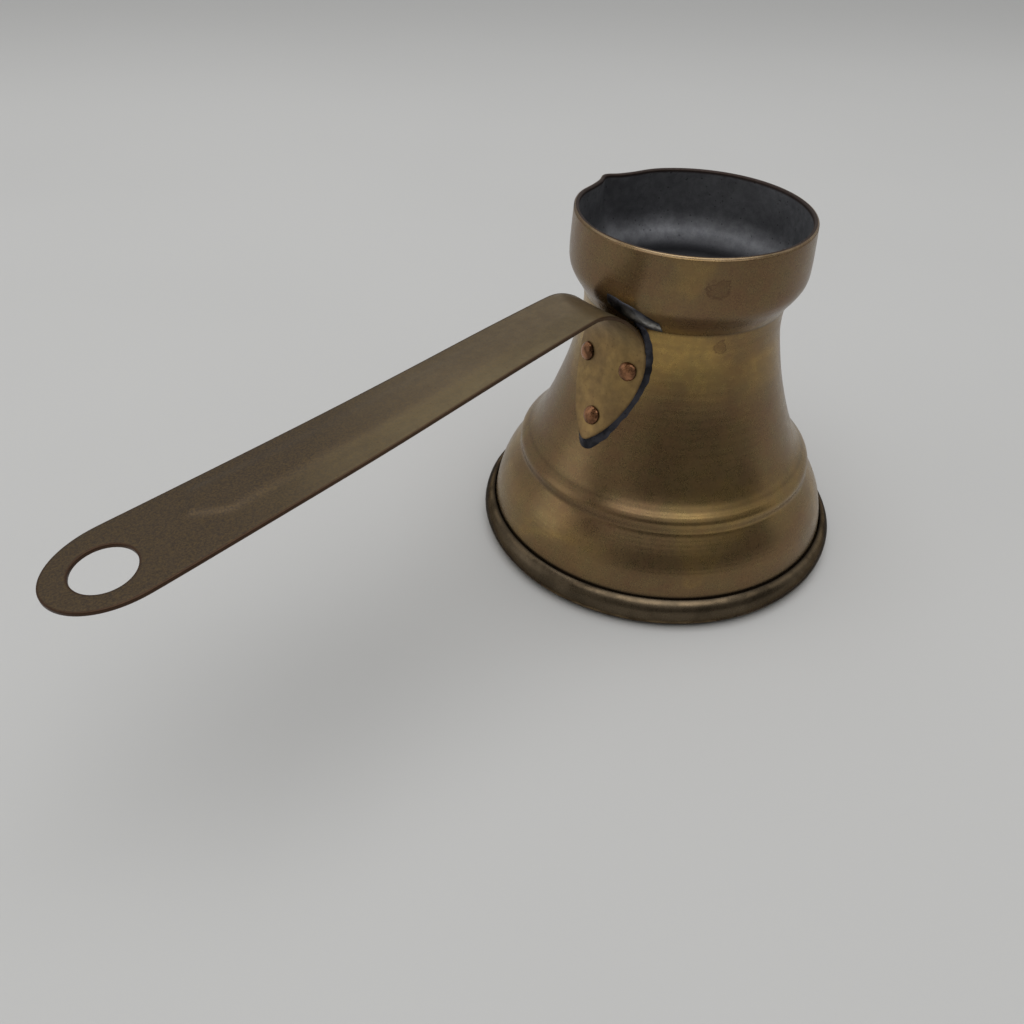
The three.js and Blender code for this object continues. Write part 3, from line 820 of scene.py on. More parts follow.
def handle_finish(look):
    """Strap brass: grey-olive near the pot, browner to its end, warmer on the leaf, with a painted
    highlight beside the panel and painted shade on its edges.
    """
    f = Finish("Strap Brass")
    patina = f.group(patina_group(), Seed=0.5, Blotch_Scale=38.0, Mottle_Scale=520.0,
                     Speck_Scale=1700.0)
    patches = f.group(patina_group(), Seed=2.3, Blotch_Scale=150.0, Mottle_Scale=420.0)
    lines = f.group(tool_lines_group(), Across=f.fact("across"), Lines_per_Metre=1800.0)
    along, across = f.fact("along"), f.fact("across")
    base = f.blend(f.ramp(along, 42 * UNIT, 105 * UNIT), look.handle, look.handle_dull)
    # Painted highlight: the flat strip on the +across side of the panel is painted lighter.
    margin = f.math("SUBTRACT", 1.0, f.fact("panel"))
    margin = f.math("MULTIPLY", margin, f.ramp(along, 115 * UNIT, 75 * UNIT))
    margin = f.math("MULTIPLY", margin, f.ramp(across, 0.0, 3 * UNIT))
    base = f.tint(base, margin, 0.7, look.margin)
    leaf = f.ramp(along, 30 * UNIT, 18 * UNIT)
    base = f.blend(leaf, base, look.leaf)
    base = f.tint(base, f.math("MULTIPLY", patches["Blotch"], leaf), 0.55, look.leaf_brown)
    base = f.tint(base, f.math("MULTIPLY", patches["Mottle"], leaf), 0.35, look.leaf_gold)
    base = f.tint(base, patina["Blotch"], 0.35, shade(look.handle_dull, 0.8))
    base = f.tint(base, lines["Broad"], 0.18, shade(look.handle_dull, 0.7))
    base = f.tint(base, patina["Grain"], 0.3, shade(look.leaf, 0.7))
    base = f.tint(base, patina["Mottle"], 0.3, shade(look.handle_dull, 0.9))
    base = f.tint(base, patina["Specks"], 0.3, look.brown)
    # Painted shade: the strap's rounded edges are painted darker, less so on the leaf.
    rim = f.ramp(f.fact("edge"), 0.5 * UNIT, 0.1 * UNIT)
    rim = f.math("MULTIPLY", rim, f.ramp(along, 20 * UNIT, 32 * UNIT, 0.35, 0.85))
    base = f.blend(rim, base, shade(look.brown, 0.7))
    normal = f.bump(lines["Fine"], 0.15, 0.00002)
    normal = f.bump(patina["Mottle"], 0.15, 0.00004, normal)
    return f.end(base, f.uneven(0.33, patina["Mottle"], 0.12), normal)


def copper_finish(look):
    """Hammered copper rivets with dirt and painted shade at their foot."""
    f = Finish("Rivet Copper")
    patina = f.group(patina_group(), Seed=0.9, Blotch_Scale=400.0, Mottle_Scale=1200.0,
                     Speck_Scale=2200.0)
    base = f.blend(patina["Blotch"], shade(look.copper, 0.35), look.copper)
    base = f.tint(base, patina["Specks"], 0.5, look.brown)
    # Dirt and painted shade at the foot of the head.
    base = f.blend(f.fact("grime"), base, look.grime)
    normal = f.bump(patina["Mottle"], 0.35, 0.00005)
    return f.end(base, f.uneven(0.16, patina["Mottle"], 0.12), normal)


def solder_finish(look):
    """Dull grey solder with darker flux stains and a light streak, which is a painted highlight."""
    f = Finish("Grey Solder")
    patina = f.group(patina_group(), Seed=0.2, Blotch_Scale=220.0, Mottle_Scale=900.0,
                     Speck_Scale=1400.0)
    base = f.blend(patina["Blotch"], shade(look.solder, 0.35), look.solder)
    # Painted highlight: a light streak along the smear.
    sheen_streak = f.math("MULTIPLY", f.fact("sheen_streak"), f.ramp(patina["Mottle"], 0.0, 0.8, 0.6, 1.0))
    base = f.blend(sheen_streak, base, look.solder_highlight)
    base = f.tint(base, patina["Specks"], 0.6, look.grime)
    normal = f.bump(patina["Mottle"], 0.6, 0.0001)
    return f.end(base, f.uneven(0.32, patina["Mottle"], 0.2), normal)


FINISHES = {
    "Handled Brass": body_finish,
    "Dark Hem Brass": hem_finish,
    "Tinned Lining": tin_finish,
    "Strap Brass": handle_finish,
    "Rivet Copper": copper_finish,
    "Grey Solder": solder_finish,
}


def finish(name):
    """The named finish, made when it's first asked for."""
    look = bpy.context.scene.coffee_pot_finish
    return bpy.data.materials.get(name) or FINISHES[name](look)


# ---------------------------------------------------------------- turned pieces


class COFFEEPOT_OT_pot_shell(bpy.types.Operator):
    """Spin the tinned shell: bulge, bead, waist, neck, collar and pinched lip"""

    bl_idname = "coffeepot.pot_shell"
    bl_label = "Pot Shell"

    def execute(self, context):
        sizes = context.scene.coffee_pot_sizes
        outer = wall_outline((60, 30, 90, 60))
        # The bead was rolled, so its groove and crease are rounded.
        for _ in range(14):
            soft = (outer[:-2] + 2 * outer[1:-1] + outer[2:]) / 4
            bead = (outer[1:-1, 1] > 16.5) & (outer[1:-1, 1] < 26)
            outer[1:-1][bead] = soft[bead]
        along = np.arange(len(outer)) * 0.35
        ripple = np.sin(along * 4.1) + 0.6 * np.sin(along * 1.7 + 1.0) * np.sin(along * 0.37)
        outer_skin = outer + normals_of(outer) * (ripple * sizes.ripple / UNIT)[:, None]
        lip = LIP_ROUNDING
        rim = np.vstack([
            arc(RIM_R - lip, DRAWN_HEIGHT - lip, lip, lip, 0, 90, 5),
            arc(RIM_R - SHEET + lip, DRAWN_HEIGHT - lip, lip, lip, 90, 180, 5),
        ])
        rough = wall_outline((7, 5, 9, 8))
        inner = (rough - normals_of(rough) * SHEET)[:-1]
        inner = curve_through([*inner, (RIM_R - SHEET, DRAWN_HEIGHT - 2 * lip)], 110)[::-1]
        foot = np.array([
            (WALL_R - SHEET, SHEET + 1.0), (WALL_R - SHEET + 0.2, SHEET + 0.3),
            (WALL_R + 0.2, SHEET + 0.3), (FOOT_R, SHEET + 1.2), (FOOT_R, SHEET + 2.3),
            (WALL_R, SHEET + 2.3)])
        outline = np.vstack([foot, outer_skin[:-1], rim, inner])
        outer_end = len(foot) + len(outer) - 1
        lining = np.zeros(len(outline))
        lining[outer_end + 4:] = 1.0
        lining[:2] = 1.0
        # The mouth's outer corner: a bare edge, with a painted highlight and painted shade.
        worn = 0.9 * near(outline, (RIM_R - 0.1, DRAWN_HEIGHT - 0.12), 0.2)
        # Dirt and painted shade in the creases: at the hem, under the collar and in the bead's
        # groove.
        grime = 0.85 * near(outline, (WALL_R, 6.4), 0.5)
        grime += 0.5 * near(outline, (20.2, 57.2), 0.35) + 0.2 * near(outline, (30.0, 23.2), 0.4)
        piece = turned_piece(
            "pot_shell", outline,
            {"along": distances(outline) * UNIT, "lining": lining, "worn": worn,
             "grime": grime * (1.0 - lining)},
            finish("Handled Brass"), finish("Tinned Lining"),
            Facets=sizes.facets, Crowding=0.55, Seed=1.0, Wobble=sizes.wobble,
            **{"Wobble Scale": 45.0, "Spout Reach": sizes.spout_reach,
               "Spout Pinch": sizes.spout_pinch, "Spout Bottom": SPOUT_Z[0] * UNIT,
               "Spout Full": SPOUT_Z[1] * UNIT})
        declare(piece, "body_brass", "pot_body")
        return {"FINISHED"}


class COFFEEPOT_OT_base_hem(bpy.types.Operator):
    """Turn the base disc and roll its hem over the foot of the wall"""

    bl_idname = "coffeepot.base_hem"
    bl_label = "Base and Hem"

    def execute(self, context):
        sizes = context.scene.coffee_pot_sizes
        centre, tall = WALL_R - 0.2, HEM_Z / 2
        wide = HEM_R - centre
        lip = WALL_R + 0.3
        top = math.degrees(math.acos((lip - centre) / wide))
        inner_top = math.degrees(math.acos((lip - centre) / (wide - SHEET)))
        under = curve_through([(0, 0.05), (12, 0.05), (24, 0.04), (34, 0.03), (centre, 0.0)], 60)
        ring = 0.03 * np.cos(under[:, 0] * 1.9) ** 8
        under[:, 1] = np.clip(under[:, 1] + ring - 0.02, 0.0, None)
        outside = arc(centre, tall, wide, tall, -90, top, 44)
        inside = arc(centre, tall, wide - SHEET, tall - SHEET, inner_top, -90, 20)
        floor = evenly([(centre, SHEET), (0, SHEET)], 30)
        outline = np.vstack([under[:-1], outside, inside[:-1], floor])
        lining = np.zeros(len(outline))
        lining[len(under) - 1 + len(outside) + 4:] = 1.0
        # Painted highlights on the roll's upper shoulder and on its lower face.
        worn = 0.4 * near(outline, outside[-6], 0.7) + 1.0 * near(outline, outside[14], 0.9)
        # Dirt and painted shade in the crease where the roll meets the wall.
        grime = 0.9 * near(outline, outside[-1], 0.35)
        piece = turned_piece(
            "base_hem", outline,
            {"along": distances(outline) * UNIT, "lining": lining, "worn": worn, "grime": grime},
            finish("Dark Hem Brass"), finish("Tinned Lining"),
            Facets=sizes.facets, Closed=False, Seed=4.0, Wobble=1.6 * sizes.wobble,
            **{"Wobble Scale": 70.0})
        declare(piece, "base_brass", "base_disc")
        return {"FINISHED"}


class COFFEEPOT_OT_base_seam(bpy.types.Operator):
    """Run the bead of solder round the inside corner of wall and base"""

    bl_idname = "coffeepot.base_seam"
    bl_label = "Base Seam Solder"

    def execute(self, context):
        corner_r, corner_z, leg = WALL_R - SHEET - 0.1, SHEET, 2.2
        hollow = arc(corner_r - leg, corner_z + leg, leg - 0.3, leg - 0.1, 0, -90, 12)
        outline = np.vstack([[(corner_r, corner_z)], [(corner_r, corner_z + leg)], hollow,
                             [(corner_r - leg, corner_z)]])
        piece = turned_piece(
            "base_seam_bead", outline, {}, finish("Grey Solder"),
            Facets=192, Seed=7.0, Wobble=0.25 * UNIT, **{"Wobble Scale": 260.0})
        declare(piece, "solder", "base_seam_solder")
        return {"FINISHED"}


def rivet_outline(sizes):
    """A rivet's half section along its own axis: peened tail, shank and hammered head."""
    head, high = sizes.head_radius / UNIT, sizes.head_height / UNIT
    seat, tail = LEAF_OFF + STRAP / 2, -SHEET
    peen = arc(0, tail, 2.1, 0.8, -90, 0, 10)
    shank = [(SHANK_R, tail + 0.02), (SHANK_R, seat - 0.02)]
    foot = [(head - 0.1, seat - 0.02), (head, seat + 0.12)]
    dome = arc(0, seat + 0.2, head * 0.98, high - 0.2, 8, 90, 18)
    return np.vstack([peen, shank, foot, dome])


class COFFEEPOT_OT_rivets(bpy.types.Operator):
    """Set the three copper rivets through the leaf and the wall"""

    bl_idname = "coffeepot.rivets"
    bl_label = "Rivets"

    def execute(self, context):
        outline = rivet_outline(context.scene.coffee_pot_sizes)
        outline[0, 0] = outline[-1, 0] = 0.0
        # Dirt and painted shade round the foot of the head.
        grime = 0.9 * near(outline, outline[12], 0.35)
        for seed, (name, (across, z)) in enumerate(RIVETS.items()):
            foot, tip = on_wall(across, z, 0.0), on_wall(across, z, 1.0)
            lean = Vector((0, 0, 1)).rotation_difference(Vector(tip - foot)).to_euler()
            piece = turned_piece(
                name.replace("rivet", "copper_rivet"), outline, {"grime": grime},
                finish("Rivet Copper"), Facets=48, Closed=False, Seed=10.0 + seed,
                Wobble=0.22 * UNIT, Place=tuple(foot * UNIT), Lean=tuple(lean),
                **{"Wobble Scale": 900.0})
            declare(piece, "rivet_copper", name)
        return {"FINISHED"}


# ---------------------------------------------------------------- handle

BLANK_STEP = 0.6  # between the points of the blank's outline
FILLING = 0.75  # between the points inside it
RIVET_GAP = 0.05  # between a rivet and its hole in the leaf
WAVE_LENGTH, WAVE_HEIGHT = 26.0, 0.16  # of the strap's slight unevenness


def bezier(points, t):
    """Places and directions on a cubic curve in the plane of x and z."""
    a, b, c, d = (np.asarray(p, float) for p in points)
    t = np.asarray(t, float)[:, None]
    place = a * (1 - t) ** 3 + 3 * b * t * (1 - t) ** 2 + 3 * c * t**2 * (1 - t) + d * t**3
    slope = 3 * ((b - a) * (1 - t) ** 2 + 2 * (c - b) * t * (1 - t) + (d - c) * t**2)
    return place, slope / np.linalg.norm(slope, axis=1, keepdims=True)


class Strap:
    """The handle's middle surface: up the wall as a leaf, round a bend, and out as a strap."""

    def __init__(self):
        self.leaf_z = np.linspace(*LEAF_Z, 120)
        leaf = on_wall(np.zeros(120), self.leaf_z, LEAF_OFF)[:, [0, 2]]
        start = leaf[-1]
        self.bend = (start, (start[0], 57.6), (26.2, BEND_TOP[1]), BEND_TOP)
        self.run = (BEND_TOP, (36, BEND_TOP[1]), (85, 54.5), (REACH, 50.3))
        self.t = np.linspace(0, 1, 400)
        self.leaf_s = distances(leaf)
        self.bend_s = self.leaf_s[-1] + distances(bezier(self.bend, self.t)[0])
        self.run_s = self.bend_s[-1] + distances(bezier(self.run, self.t)[0])
        self.run_x = bezier(self.run, self.t)[0][:, 0]
        self.curl = 1.0 / start[0]
        side = curve_through(LEAF_SIDE, 400)
        self.leaf_half = lambda z: np.interp(z, side[:, 0], side[:, 1])

    def s_at(self, x):
        """Length along the strap where its run reaches x."""
        return np.interp(x, self.run_x, self.run_s)

    def half(self, s):
        """Half-width of the flat blank at length s."""
        leaf = self.leaf_half(np.interp(s, self.leaf_s, self.leaf_z))
        t = np.interp(s, self.bend_s, self.t)
        fade = smooth(0, 0.6, t)
        bend = self.leaf_half(LEAF_Z[1]) * (1 - fade) + STRAP_HALF[0] * fade
        x = np.interp(s, self.run_s, self.run_x)
        run = np.interp(x, [BEND_TOP[0], REACH], STRAP_HALF)
        end = np.clip((x - (REACH - END_LENGTH)) / END_LENGTH, 0, 1)
        run = run * np.sqrt(1 - end * end)
        return np.where(s < self.leaf_s[-1], leaf, np.where(s < self.bend_s[-1], bend, run))

    def blank(self, spacing):
        """Closed outline of the flat blank, the leaf's tip first, metal on the left."""
        last = self.run_s[-1]
        s = np.concatenate([
            np.linspace(0, self.s_at(REACH - END_LENGTH), 600),
            self.s_at(REACH - END_LENGTH + END_LENGTH * np.sin(np.linspace(0, np.pi / 2, 60))[1:]),
        ])
        side = np.stack([s, self.half(s)], 1)
        side[-1] = (last, 0.0)
        loop = np.vstack([side * (1, -1), side[-2::-1]])
        loop = evenly(loop, int(distances(loop)[-1] / spacing), closed=True)
        for _ in range(4):
            loop = (np.roll(loop, 1, 0) + 2 * loop + np.roll(loop, -1, 0)) / 4
        return loop

    def bent(self, s, w, h):
        """Places of flat points (s along, w across, h up through the thickness)."""
        places = np.zeros((len(s), 3))
        on_leaf, in_run = s < self.leaf_s[-1], s >= self.bend_s[-1]
        in_bend = ~on_leaf & ~in_run
        z = np.interp(s, self.leaf_s, self.leaf_z)
        places[on_leaf] = on_wall(w, z, LEAF_OFF - h)[on_leaf]
        for part, curve, lengths in ((in_bend, self.bend, self.bend_s),
                                     (in_run, self.run, self.run_s)):
            t = np.interp(s[part], lengths, self.t)
            centre, slope = bezier(curve, t)
            up, side = h[part], w[part]
            if curve is self.bend:
                curl = np.maximum(self.curl * (1 - smooth(0, 0.8, t)), 1e-5)
                angle = side * curl
                side = np.sin(angle) / curl * (1 - up * curl)
                up = up * np.cos(angle) + (1 - np.cos(angle)) / curl
            places[part] = np.stack(
                [centre[:, 0] - slope[:, 1] * up, side, centre[:, 1] + slope[:, 0] * up], 1)
        return places


def panel(x, w):
    """1 on the pressed panel, at x along the handle and w across it, fading to 0 off it."""
    near_edge = np.interp(x, [42, 70, 103, 109], [4.2, 4.4, 3.2, -1.4])
    far_edge = np.interp(x, [42, 105.5, 109], [-5.2, -6.9, -1.4])
    slope = np.interp(x, [90, 106], [3.6, 1.5])
    inside = np.minimum(near_edge - w, w - far_edge)
    return smooth(0, slope, inside) * smooth(40, 58, x)


def circle(s, radius, count):
    """A round hole in the blank, metal on its left."""
    angle = -np.linspace(0, 2 * np.pi, count, endpoint=False)
    return np.stack([s + radius * np.cos(angle), radius * np.sin(angle)], 1)


def inside_loop(points, loop):
    """Which points lie inside a closed loop."""
    after = np.roll(loop, -1, 0)
    x, y = points[:, 0, None], points[:, 1, None]
    crosses = (loop[:, 1] > y) != (after[:, 1] > y)
    rise = np.where(after[:, 1] == loop[:, 1], 1.0, after[:, 1] - loop[:, 1])
    at = loop[:, 0] + (y - loop[:, 1]) / rise * (after[:, 0] - loop[:, 0])
    return (crosses & (x < at)).sum(1) % 2 == 1


def nearest(points, loops):
    """Distance from each point to the nearest point of any loop."""
    rim = np.vstack(loops)
    return np.concatenate([
        np.linalg.norm(part[:, None] - rim[None], axis=2).min(1)
        for part in np.array_split(points, max(1, len(points) // 400))])


class FlatStrap:
    """The strap before it's bent: flat places, heights above its middle, insets and faces."""

    def __init__(self, loops, radius):
        self.loops, self.radius = loops, radius
        self.places, self.heights, self.insets, self.faces = [], [], [], []
        self.rims = []  # for each loop: its first point on top, its first underneath, its inset
        for loop in loops:
            self.round_edge(loop)
        self.fill()

    def add(self, places, height, inset):
        """Adds points at one height."""
        self.places.append(places)
        self.heights.append(np.full(len(places), height))
        self.insets.append(np.broadcast_to(inset, len(places)))

    def round_edge(self, loop):
        """Rings of points over the strap's rounded edge, from its top to its underside."""
        step = np.roll(loop, -1, 0) - np.roll(loop, 1, 0)
        inward = np.stack([-step[:, 1], step[:, 0]], 1)
        inward /= np.linalg.norm(inward, axis=1, keepdims=True)
        turn = np.radians([90, 67, 45, 22, 0])
        insets = self.radius * (1 - np.cos(turn))
        heights = STRAP / 2 - self.radius * (1 - np.sin(turn))
        levels = [*zip(insets, heights), *zip(insets[::-1], -heights[::-1])]
        count, first = len(loop), sum(map(len, self.places))
        for inset, height in levels:
            self.add(loop + inward * inset, height, inset)
        for level in range(len(levels) - 1):
            top, low = first + level * count, first + (level + 1) * count
            for i in range(count):
                j = (i + 1) % count
                self.faces.append((low + i, low + j, top + j, top + i))
        self.rims.append((first, first + (len(levels) - 1) * count, loop + inward * self.radius))

    def fill(self):
        """An even filling of triangles between the rims, on top and underneath."""
        rims = [rim for _, _, rim in self.rims]
        low, high = rims[0].min(0), rims[0].max(0)
        columns = np.arange(low[0], high[0], FILLING)
        rows = np.arange(low[1], high[1], FILLING)
        filling = np.stack(np.meshgrid(columns, rows, indexing="ij"), -1)
        filling[::2, :, 1] += FILLING / 2
        filling = filling.reshape(-1, 2)
        filling = filling[self.inside(filling, rims) & (nearest(filling, rims) > 0.6 * FILLING)]
        plan = np.vstack([*rims, filling])
        chains, start = [], 0
        for rim in rims:
            ids = np.arange(start, start + len(rim))
            chains += list(zip(ids.tolist(), np.roll(ids, -1).tolist()))
            start += len(rim)
        _, _, triangles, source, _, _ = delaunay_2d_cdt(
            [Vector(p) for p in plan.tolist()], chains, [], 0, 1e-6)
        triangles = np.array([[source[i][0] for i in t] for t in triangles])
        triangles = triangles[self.inside(plan[triangles].mean(1), rims)]
        first_top = sum(map(len, self.places))
        first_low = first_top + len(filling)
        top_ids = np.concatenate([
            *(top + np.arange(len(rim)) for top, _, rim in self.rims),
            first_top + np.arange(len(filling))])
        low_ids = np.concatenate([
            *(low + np.arange(len(rim)) for _, low, rim in self.rims),
            first_low + np.arange(len(filling))])
        inset = nearest(filling, self.loops)
        self.add(filling, STRAP / 2, inset)
        self.add(filling, -STRAP / 2, inset)
        for a, b, c in triangles:
            self.faces.append((int(top_ids[a]), int(top_ids[b]), int(top_ids[c])))
            self.faces.append((int(low_ids[c]), int(low_ids[b]), int(low_ids[a])))

    @staticmethod
    def inside(points, rims):
        """Which points lie in the metal."""
        kept = inside_loop(points, rims[0])
        for rim in rims[1:]:
            kept &= ~inside_loop(points, rim)
        return kept


class COFFEEPOT_OT_handle(bpy.types.Operator):
    """Cut the strap's blank, round its edges, press the panel and bend it to the pot"""

    bl_idname = "coffeepot.handle"
    bl_label = "Handle"

    def execute(self, context):
        sizes = context.scene.coffee_pot_sizes
        strap = Strap()
        hole = circle(strap.s_at(HOLE_X), sizes.hole_radius / UNIT, 72) + (0, HOLE_ACROSS)
        loops = [strap.blank(BLANK_STEP), hole]
        for across, z in RIVETS.values():
            ring = circle(np.interp(z, strap.leaf_z, strap.leaf_s), SHANK_R + RIVET_GAP, 24)
            loops.append(ring + (0, across))
        flat = FlatStrap(loops, sizes.edge_radius / UNIT)
        places, height = np.vstack(flat.places), np.concatenate(flat.heights)
        s, w = places[:, 0], places[:, 1]
        x = np.interp(s, strap.run_s, strap.run_x)
        bend_end = strap.bend_s[-1]
        raised = panel(x, w) * (s > bend_end)
        waves = np.array([lumps((a, b, 0.0), WAVE_LENGTH, 3.3) for a, b in places]) * WAVE_HEIGHT
        height = height + raised * sizes.panel_height / UNIT
        height = height + waves * smooth(bend_end, bend_end + 20, s)
        mesh = mesh_of(
            "handle_strap", strap.bent(s, w, height), flat.faces, finish("Strap Brass"),
            {"along": s * UNIT, "across": w * UNIT, "edge": np.concatenate(flat.insets) * UNIT,
             "panel": raised})
        declare(finished("handle_strap", mesh), "handle_brass", "handle")
        return {"FINISHED"}


# ---------------------------------------------------------------- solder

# How far the fillet reaches beyond the leaf's edge: (side, height, reach), round the tip. On the
# right it's widened as painted shade, a dark band standing in for the shade in the gap beside the
# leaf.
FILLET_AND_SHADE = [
    (-1, 51.5, 0.2), (-1, 46, 0.2), (-1, 42, 0.2), (-1, 38.5, 0.2), (-1, 35.5, 0.3), (-1, 33, 0.7),
    (0, 31.4, 1.5), (1, 33, 1.9), (1, 35.5, 1.2), (1, 38.5, 0.9), (1, 42, 0.9), (1, 46, 1.1),
    (1, 51.5, 1.3),
]
# Past the leaf it climbs the neck beside the strap, as solder and painted shade: (across, height,
# reach).
FILLET_AND_SHADE_TOP = [(7.2, 54.3, 1.3), (6.3, 56.8, 1.4), (5.2, 59.0, 1.0)]


class COFFEEPOT_OT_leaf_solder(bpy.types.Operator):
    """Run the fillet of solder round the edge of the riveted leaf, widened on the right as painted
    shade
    """

    bl_idname = "coffeepot.leaf_solder"
    bl_label = "Leaf Solder"

    def execute(self, context):
        high = context.scene.coffee_pot_sizes.solder_height / UNIT
        strap = Strap()
        corners = [(side * strap.leaf_half(z), z) for side, z, _ in FILLET_AND_SHADE]
        corners = np.array(corners + [(across, z) for across, z, _ in FILLET_AND_SHADE_TOP])
        stations, points = 150, 9
        path = curve_through(corners, stations)
        reach = np.interp(
            np.linspace(0, 1, stations), distances(corners) / distances(corners)[-1],
            [r for _, _, r in FILLET_AND_SHADE + FILLET_AND_SHADE_TOP])
        step = np.gradient(path, axis=0)
        away = np.stack([step[:, 1], -step[:, 0]], 1)
        away /= np.linalg.norm(away, axis=1, keepdims=True)
        places = []
        for i in range(stations):
            taper = min(1.0, 8 * i / stations, 8 * (stations - 1 - i) / stations) ** 0.5
            lump = lumps((*path[i], 0.0), 1.6, 5.1)
            wide = reach[i] * (1 + 0.25 * lump) * (0.3 + 0.7 * taper)
            rise = high * (0.9 + 0.3 * lumps((*path[i], 4.0), 1.1, 2.2)) * (0.25 + 0.75 * taper)
            section = [(-0.35, -0.12), (wide + 0.1, -0.12)]
            for k in range(points):
                u = 1 - k / (points - 1)
                section.append((wide * u, rise * (1 - u) ** 1.3 * (1 + 0.5 * u) - 0.02))
            section.append((-0.35, rise - 0.02))
            for out, off in reversed(section):
                spot = path[i] + away[i] * out
                places.append(on_wall(spot[0], spot[1], off + 0.03 * lump))
        mesh = mesh_of(
            "leaf_solder", places, lofted_faces(stations, points + 3), finish("Grey Solder"))
        declare(finished("leaf_solder", mesh), "solder", "handle_solder")
        return {"FINISHED"}


class COFFEEPOT_OT_collar_solder(bpy.types.Operator):
    """Smear solder between the back of the strap and the shoulder under the collar"""

    bl_idname = "coffeepot.collar_solder"
    bl_label = "Collar Solder"

    def execute(self, context):
        start, end, thick = (0.5, 62.0), (10.4, 58.3), 0.6
        columns, rows = 60, 28
        places, sheen_streak = [], []
        for i in range(columns):
            span = i / (columns - 1)
            across = start[0] + (end[0] - start[0]) * span
            half = 2.1 * (0.3 + 0.7 * math.sin(math.pi * (0.12 + 0.76 * span)))
            half *= 1 + 0.15 * lumps((across, 0.0, 0.0), 2.2, 6.0)
            middle = start[1] + (end[1] - start[1]) * span
            middle += 0.3 * lumps((across, 3.0, 0.0), 2.6, 1.0)
            bulge = thick * math.sin(math.pi * (0.15 + 0.7 * span))
            under, over = [], []
            for j in range(rows):
                t = 2 * j / (rows - 1) - 1
                z = middle + half * t
                lump = 1 + 0.3 * lumps((across, z, 0.0), 1.3, 9.0)
                under.append(on_wall(across, z, -0.15))
                over.append(on_wall(across, z, bulge * lump * math.sqrt(max(0.0, 1 - t * t))))
            places += [*under, *over[::-1]]
            t = np.linspace(1, -1, rows)
            # Painted highlight: a light streak along the smear's crest.
            streak = smooth(0.3, 0.6, span) * np.exp(-(((t - 0.1) / 0.45) ** 2))
            sheen_streak += [*np.zeros(rows), *streak]
        mesh = mesh_of(
            "collar_solder_smear", places, lofted_faces(columns, 2 * rows), finish("Grey Solder"),
            {"sheen_streak": sheen_streak})
        declare(finished("collar_solder_smear", mesh), "solder", "collar_solder")
        return {"FINISHED"}


# ---------------------------------------------------------------- stage

PAPER_R = 4.0  # metres, as the next two
SCREEN_R = 0.75
SCREEN_HEIGHT = 0.52
SCREEN_SPAN = (-60, 88)  # degrees to either side of the dark side's middle
SCREEN_PANELS = 59


def floor_finish(look):
    """Pale uncoated paper with a faint fibre."""
    f = Finish("Pale Paper", metallic=0.0)
    fibre = f.noise(f.place, 900.0, detail=4.0)
    cloud = f.noise(f.place, 6.0, detail=2.0)
    base = f.blend(f.ramp(cloud, 0.3, 0.7), look.floor, shade(look.floor, 0.98))
    # The paper lies in shade beyond the pot.
    beyond = f.vector("DOT_PRODUCT", f.place, (-0.60, -0.80, 0.0))
    base = f.blend(f.ramp(beyond, 0.28, 0.62), base, shade(look.floor, 0.84))
    return f.end(base, 0.65, f.bump(fibre, 0.05, 0.00005))


def soft_light(name, place, target, size, power):
    """A square soft light that the camera doesn't see."""
    light = bpy.data.lights.new(name, "AREA")
    light.shape, light.size, light.energy = "SQUARE", size, power
    lamp = bpy.data.objects.new(name, light)
    lamp.location = place
    lamp.rotation_euler = (Vector(target) - Vector(place)).to_track_quat("-Z", "Y").to_euler()
    lamp.visible_camera = False
    bpy.context.scene.collection.objects.link(lamp)


def lay_floor(studio):
    """A round sheet of paper, wide enough to reach the horizon."""
    angles = np.linspace(0, 2 * np.pi, 96, endpoint=False)
    ring = [(PAPER_R * math.cos(a), PAPER_R * math.sin(a), 0.0) for a in angles]
    mesh = bpy.data.meshes.new("paper_floor")
    mesh.from_pydata(ring, [], [tuple(range(len(ring)))])
    mesh.materials.append(floor_finish(studio))
    floor = bpy.data.objects.new("paper_floor", mesh)
    bpy.context.scene.collection.objects.link(floor)


def dark_side_finish(middle):
    """Dull dark cloth that fades into the white room at its left end."""
    f = Finish("Dark Side", metallic=0.0)
    left = middle - math.pi / 2
    turned = f.vector("DOT_PRODUCT", f.place, (math.cos(left), math.sin(left), 0.0))
    tone = f.blend(f.ramp(turned, 0.02, 0.45), (0.062, 0.057, 0.050), (0.55, 0.53, 0.48))
    return f.end(tone, 0.9, f.bump(f.noise(f.place, 5.0), 0.1, 0.001))


def hang_dark_side(studio):
    """The unlit side of the room: a dark curved screen, which the camera doesn't see."""
    angles = np.radians(np.linspace(*SCREEN_SPAN, SCREEN_PANELS + 1)) + studio.dark_side
    low = [(SCREEN_R * math.cos(a), SCREEN_R * math.sin(a), 0.0) for a in angles]
    row = len(low)
    mesh = bpy.data.meshes.new("dark_side")
    mesh.from_pydata(
        low + [(x, y, SCREEN_HEIGHT) for x, y, _ in low], [],
        [(i, i + 1, i + 1 + row, i + row) for i in range(SCREEN_PANELS)])
    mesh.materials.append(dark_side_finish(studio.dark_side))
    screen = bpy.data.objects.new("dark_side", mesh)
    screen.visible_camera = False
    screen.visible_shadow = False
    bpy.context.scene.collection.objects.link(screen)


